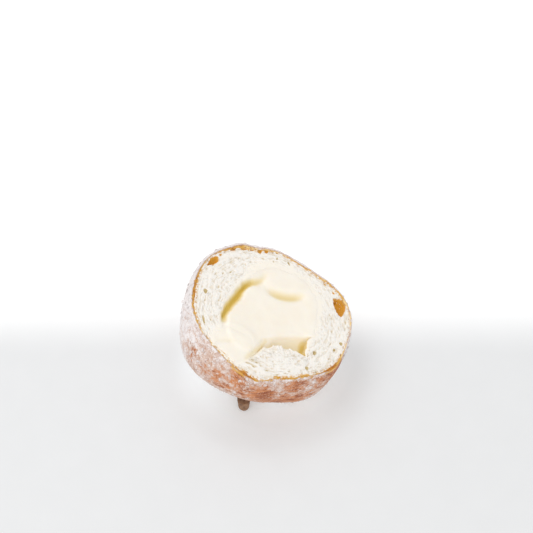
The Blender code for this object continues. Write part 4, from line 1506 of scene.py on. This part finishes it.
# %% Crumb and cream finishes
def crumb_finish():
    """Warm white crumb: painted shade in its pores, creamy under the film, painted yellow shade in the
    gap, and golden where it is toasted."""
    made, tree = new_finish(
        "white_crumb",
        roughness=0.85,
        subsurface_weight=0.12,
        subsurface_scale=0.001,
        subsurface_radius=(1.0, 0.85, 0.7),
    )
    mask, height = grain_of(tree, 0.7, 0.65)
    pore, toast = attribute(tree, "pore"), attribute(tree, "toast")
    golden = layered(tree, srgb(234, 184, 74), (srgb(208, 136, 26), mask, 0.7))
    colour = layered(
        tree,
        srgb(250, 246, 240),
        (srgb(242, 234, 222), mask, 0.55),
        # painted shade in the pores: beige in shallow ones, yellow-beige in the deepest
        (srgb(231, 218, 196), between(tree, pore, 0.12, 0.7), 0.8),
        (srgb(206, 184, 128), between(tree, pore, 0.62, 0.95), 0.9),
        (srgb(252, 244, 231), attribute(tree, "film"), 1.0),
        # painted yellow shade in the gap and beside the tongue
        *painted_shade_layers(tree),
        (golden, between(tree, toast, 0.05, 0.95), 1.0),
    )
    return dress(made, colour, height, 0.32, 0.3)


def cream_finish():
    """Pale vanilla with soft broad clouds in it, a little sheen, and painted yellow shade in the gap, the
    fold and on the front slope.
    """
    made, tree = new_finish(
        "vanilla_cream",
        roughness=0.38,
        subsurface_weight=0.2,
        subsurface_scale=0.002,
        subsurface_radius=(1.0, 0.85, 0.6),
    )
    cloudy, _ = grain_of(tree, 6.0, 0.4)
    _, height = grain_of(tree, 0.8, 0.5)
    clouded = (srgb(250, 239, 223), cloudy, 0.7)
    # painted yellow shade in the gap, the fold, the notch and on the front slope
    colour = layered(tree, srgb(253, 245, 232), clouded, *painted_shade_layers(tree))
    return dress(made, colour, height, 0.08, 0.2)


crumb.data.materials.append(crumb_finish())
cream.data.materials.append(cream_finish())
print("Finishes so far:", [material.name for material in bpy.data.materials])


# %% Crust and glaze finishes
def crust_finish():
    """Red-brown outside with darker streaks, pale fibres painted as highlight strokes and a dusting
    where the sugar thins out, and at the cut a strip from pale to golden and brown."""
    made, tree = new_finish("fried_crust", roughness=0.55)
    mask, height = grain_of(tree, 0.6, 0.7)
    painted_fibre_highlight, _ = grain_of(tree, 0.8, 0.8)
    streak, toast = attribute(tree, "streak"), attribute(tree, "toast")
    dusted = maths(tree, "MULTIPLY_ADD", mask, 0.22, attribute(tree, "cover"))
    outside = layered(
        tree,
        srgb(200, 128, 78),
        (srgb(142, 68, 24), between(tree, streak, -0.35, 0.45), 1.0),
        # pale fibres, painted as highlight strokes
        (srgb(240, 216, 198), between(tree, painted_fibre_highlight, 0.6, 0.95), 0.75),
        (srgb(208, 168, 146), between(tree, dusted, -0.03, 0.14), 0.85),
    )
    colour = layered(
        tree,
        srgb(234, 220, 208),
        (srgb(238, 206, 142), between(tree, streak, -1.1, -0.6), 1.0),
        (srgb(219, 168, 78), between(tree, streak, -0.55, -0.1), 1.0),
        (srgb(192, 120, 32), between(tree, streak, 0.15, 0.8), 0.9),
        (srgb(186, 112, 34), attribute(tree, "pore"), 1.0),
        (outside, between(tree, toast, 0.25, 1.0), 1.0),
    )
    return dress(made, colour, height, 0.25, 0.2)


def glaze_finish():
    """Where the sugar is thin, the brown crust shows through it, tanned and speckled. Where it is
    thick, it is a cool white with a few tan specks."""
    made, tree = new_finish("dried_sugar_glaze", roughness=0.5, coat_weight=0.08)
    mask, height = grain_of(tree, 0.45, 0.75)
    broad, _ = grain_of(tree, 3.5, 0.5)
    speck, _ = grain_of(tree, 1.0, 0.85)
    rub = between(tree, attribute(tree, "rub"), -0.4, 0.4)
    frosted = maths(tree, "MULTIPLY_ADD", mask, 0.36, attribute(tree, "thickness"))
    colour = layered(
        tree,
        srgb(196, 134, 92),
        (srgb(162, 92, 50), rub, 1.0),
        (srgb(210, 178, 158), between(tree, frosted, 0.05, 0.2), 1.0),
        (srgb(142, 80, 54), between(tree, speck, 0.62, 0.82), 0.85),
        (srgb(248, 240, 234), between(tree, speck, 0.34, 0.16), 0.8),
        (srgb(242, 236, 234), between(tree, frosted, 0.28, 0.52), 1.0),
        (srgb(196, 164, 150), between(tree, speck, 0.7, 1.0), 0.5),
        (srgb(226, 216, 220), broad, 0.25),
    )
    return dress(made, colour, height, 0.5, 0.25)


sugar = glaze_finish()
glaze.data.materials.append(sugar)
flakes.data.materials.append(sugar)
crust.data.materials.append(crust_finish())
print("The sugar is on", glaze.name, "and", flakes.name)


# %% Loose crumb and stub finishes
def loose_crumb_finish():
    """Crumbs from pale to golden brown, each by its own toast."""
    made, tree = new_finish("loose_crumbs", roughness=0.8)
    mask, height = grain_of(tree, 0.4, 0.6)
    pale = layered(tree, srgb(248, 244, 236), (srgb(232, 222, 204), mask, 0.6))
    golden = layered(tree, srgb(222, 170, 96), (srgb(186, 116, 44), mask, 0.8))
    colour = layered(tree, pale, (golden, attribute(tree, "toast"), 1.0))
    return dress(made, colour, height, 0.3, 0.1)


def stub_finish():
    """Dull brown, speckled by fine grain, greyer in broad patches, with painted shade in its dents."""
    made, tree = new_finish("browned_stub", roughness=0.8)
    mask, height = grain_of(tree, 0.7, 0.7)
    broad, _ = grain_of(tree, 2.4, 0.5)
    colour = layered(
        tree,
        srgb(166, 128, 96),
        (srgb(120, 84, 58), mask, 1.0),
        (srgb(150, 120, 100), broad, 0.5),
        # painted shade: darker where the noise pushes the skin in
        (srgb(92, 62, 42), between(tree, attribute(tree, "rough"), 0.1, -0.6), 0.7),
    )
    return dress(made, colour, height, 0.6, 0.4)


cut_crumbs.data.materials.append(loose_crumb_finish())
stub.data.materials.append(stub_finish())
print("Finishes:", [material.name for material in bpy.data.materials])

# %% [markdown]
# ## Floor, light and camera
#
# Such pictures are taken on a white table in a bright tent of light: pale all round, a broad lamp
# above and behind on the left, and only a soft shadow near the object. A pale world gives the
# tent, and three large area lamps give the direction: the key behind on the left, and two softer
# ones low in front. The floor is a disc that glows a little, with painted light close to the
# object, which lifts the shadow under the ball, and behind it. The view transform is Standard,
# because the film-like ones would grey the whites.
# The camera stands three quarters of a metre away, looking down at 49 degrees.

# %% Floor
FLOOR_RADIUS, FLOOR_HEIGHT = 3.0, -0.00005  # metres
FLOOR_ROWS, FLOOR_COLUMNS = 23, 96


def floor_finish():
    """Pale grey with a little glow, and painted light right round the object, where it lifts the shadow
    under the ball, and towards the back.
    """
    white = (1.0, 1.0, 1.0, 1.0)
    # the floor glows a little: painted light all over it
    made, tree = new_finish("pale_table", roughness=0.6, emission_color=white, emission_strength=0.2)
    mask, _ = grain_of(tree, 14.0, 0.5)
    place = add(tree, "ShaderNodeTexCoord").outputs["Object"]
    behind = add(tree, "ShaderNodeSeparateXYZ", {0: place}).outputs["Y"]
    away = add(tree, "ShaderNodeVectorMath", {0: place}, operation="LENGTH").outputs["Value"]
    colour = layered(
        tree,
        srgb(205, 206, 207),
        (srgb(202, 203, 204), mask, 0.6),
        # painted light: paler close to the object, lifting the shadow under the ball, and paler towards the
        # back
        (srgb(234, 240, 243), between(tree, away, 0.046, 0.022), 1.0),
        (srgb(250, 250, 250), between(tree, behind, 0.005, 0.05), 1.0),
    )
    return dress(made, colour)


def make_floor():
    """A broad disc just below the part: rings out from its middle, closer together there, because
    each radius is the square of a share."""
    reach = np.linspace(0.0, 1.0, FLOOR_ROWS + 1)[1:, None, None] ** 2 * FLOOR_RADIUS
    flat = (reach * rays(turn(FLOOR_COLUMNS))).reshape(-1, 2)
    points = np.full((len(flat) + 1, 3), (0.0, 0.0, FLOOR_HEIGHT))
    points[:-1, :2] = flat
    fan = [(len(flat), a, (a + 1) % FLOOR_COLUMNS) for a in range(FLOOR_COLUMNS)]
    mesh = bpy.data.meshes.new("floor")
    mesh.from_pydata(points.tolist(), [], ring_quads(FLOOR_ROWS, FLOOR_COLUMNS) + fan)
    mesh.materials.append(floor_finish())
    floor = bpy.data.objects.new("floor", mesh)
    bpy.context.scene.collection.objects.link(floor)
    return floor


floor = make_floor()
print("The floor is", 2.0 * FLOOR_RADIUS, "m across")

# %% Light
WORLD_STRENGTH = 0.72
LAMPS = (  # name, place, the point it looks at, size in metres, power in watts
    ("key", (-0.45, 0.3, 1.15), (0.0, 0.0, 0.03), 0.8, 4.4),
    ("front_left", (-0.5, -1.0, 0.38), (0.0, 0.0, 0.02), 0.9, 2.2),
    ("front_right", (0.45, -1.0, 0.35), (0.0, 0.0, 0.02), 0.9, 2.4),
)


def look_rotation(look):
    """Euler angles that turn an object's -Z axis along a direction, its Y axis staying upright."""
    x, y, z = look / np.linalg.norm(look)
    return (float(np.arctan2(np.hypot(x, y), -z)), 0.0, float(np.arctan2(-x, y)))


for name, place, aim, size, power in LAMPS:
    lamp = bpy.data.lights.new(name, "AREA")
    lamp.size, lamp.energy = size, power
    holder = bpy.data.objects.new(name, lamp)
    holder.location = place
    holder.rotation_euler = look_rotation(np.array(aim) - np.array(place))
    bpy.context.scene.collection.objects.link(holder)

world = bpy.data.worlds.new("tent")
bpy.context.scene.world = world
world.use_nodes = True
background = world.node_tree.nodes["Background"]
background.inputs["Color"].default_value = (1.0, 1.0, 1.0, 1.0)
background.inputs["Strength"].default_value = WORLD_STRENGTH
bpy.context.scene.view_settings.view_transform = "Standard"
print("Lamps:", [row[0] for row in LAMPS])

# %% Camera
LOOK_DOWN = radians(48.8)
MM_PER_PIXEL, DISTANCE = 0.43, 750.0
SENSOR_WIDTH = 36.0
IMAGE_MIDDLE = 266.5
SEEN_POINT, SEEN_PIXEL = np.array((0.41, -0.24, 36.0)), (267.8, 314.5)

up_axis = np.array((0.0, sin(LOOK_DOWN), cos(LOOK_DOWN)))
back_axis = np.array((0.0, -cos(LOOK_DOWN), sin(LOOK_DOWN)))
target = SEEN_POINT + up_axis * (SEEN_PIXEL[1] - IMAGE_MIDDLE) * MM_PER_PIXEL
target[0] -= (SEEN_PIXEL[0] - IMAGE_MIDDLE) * MM_PER_PIXEL
camera = bpy.data.objects.new("camera", bpy.data.cameras.new("camera"))
bpy.context.scene.collection.objects.link(camera)
camera.location = (target + back_axis * DISTANCE) * MM
camera.rotation_euler = look_rotation(-back_axis)
camera.data.sensor_width = SENSOR_WIDTH
camera.data.lens = SENSOR_WIDTH * DISTANCE / (2.0 * IMAGE_MIDDLE * MM_PER_PIXEL)
bpy.context.scene.camera = camera
print("Camera lens:", round(camera.data.lens, 1), "mm")
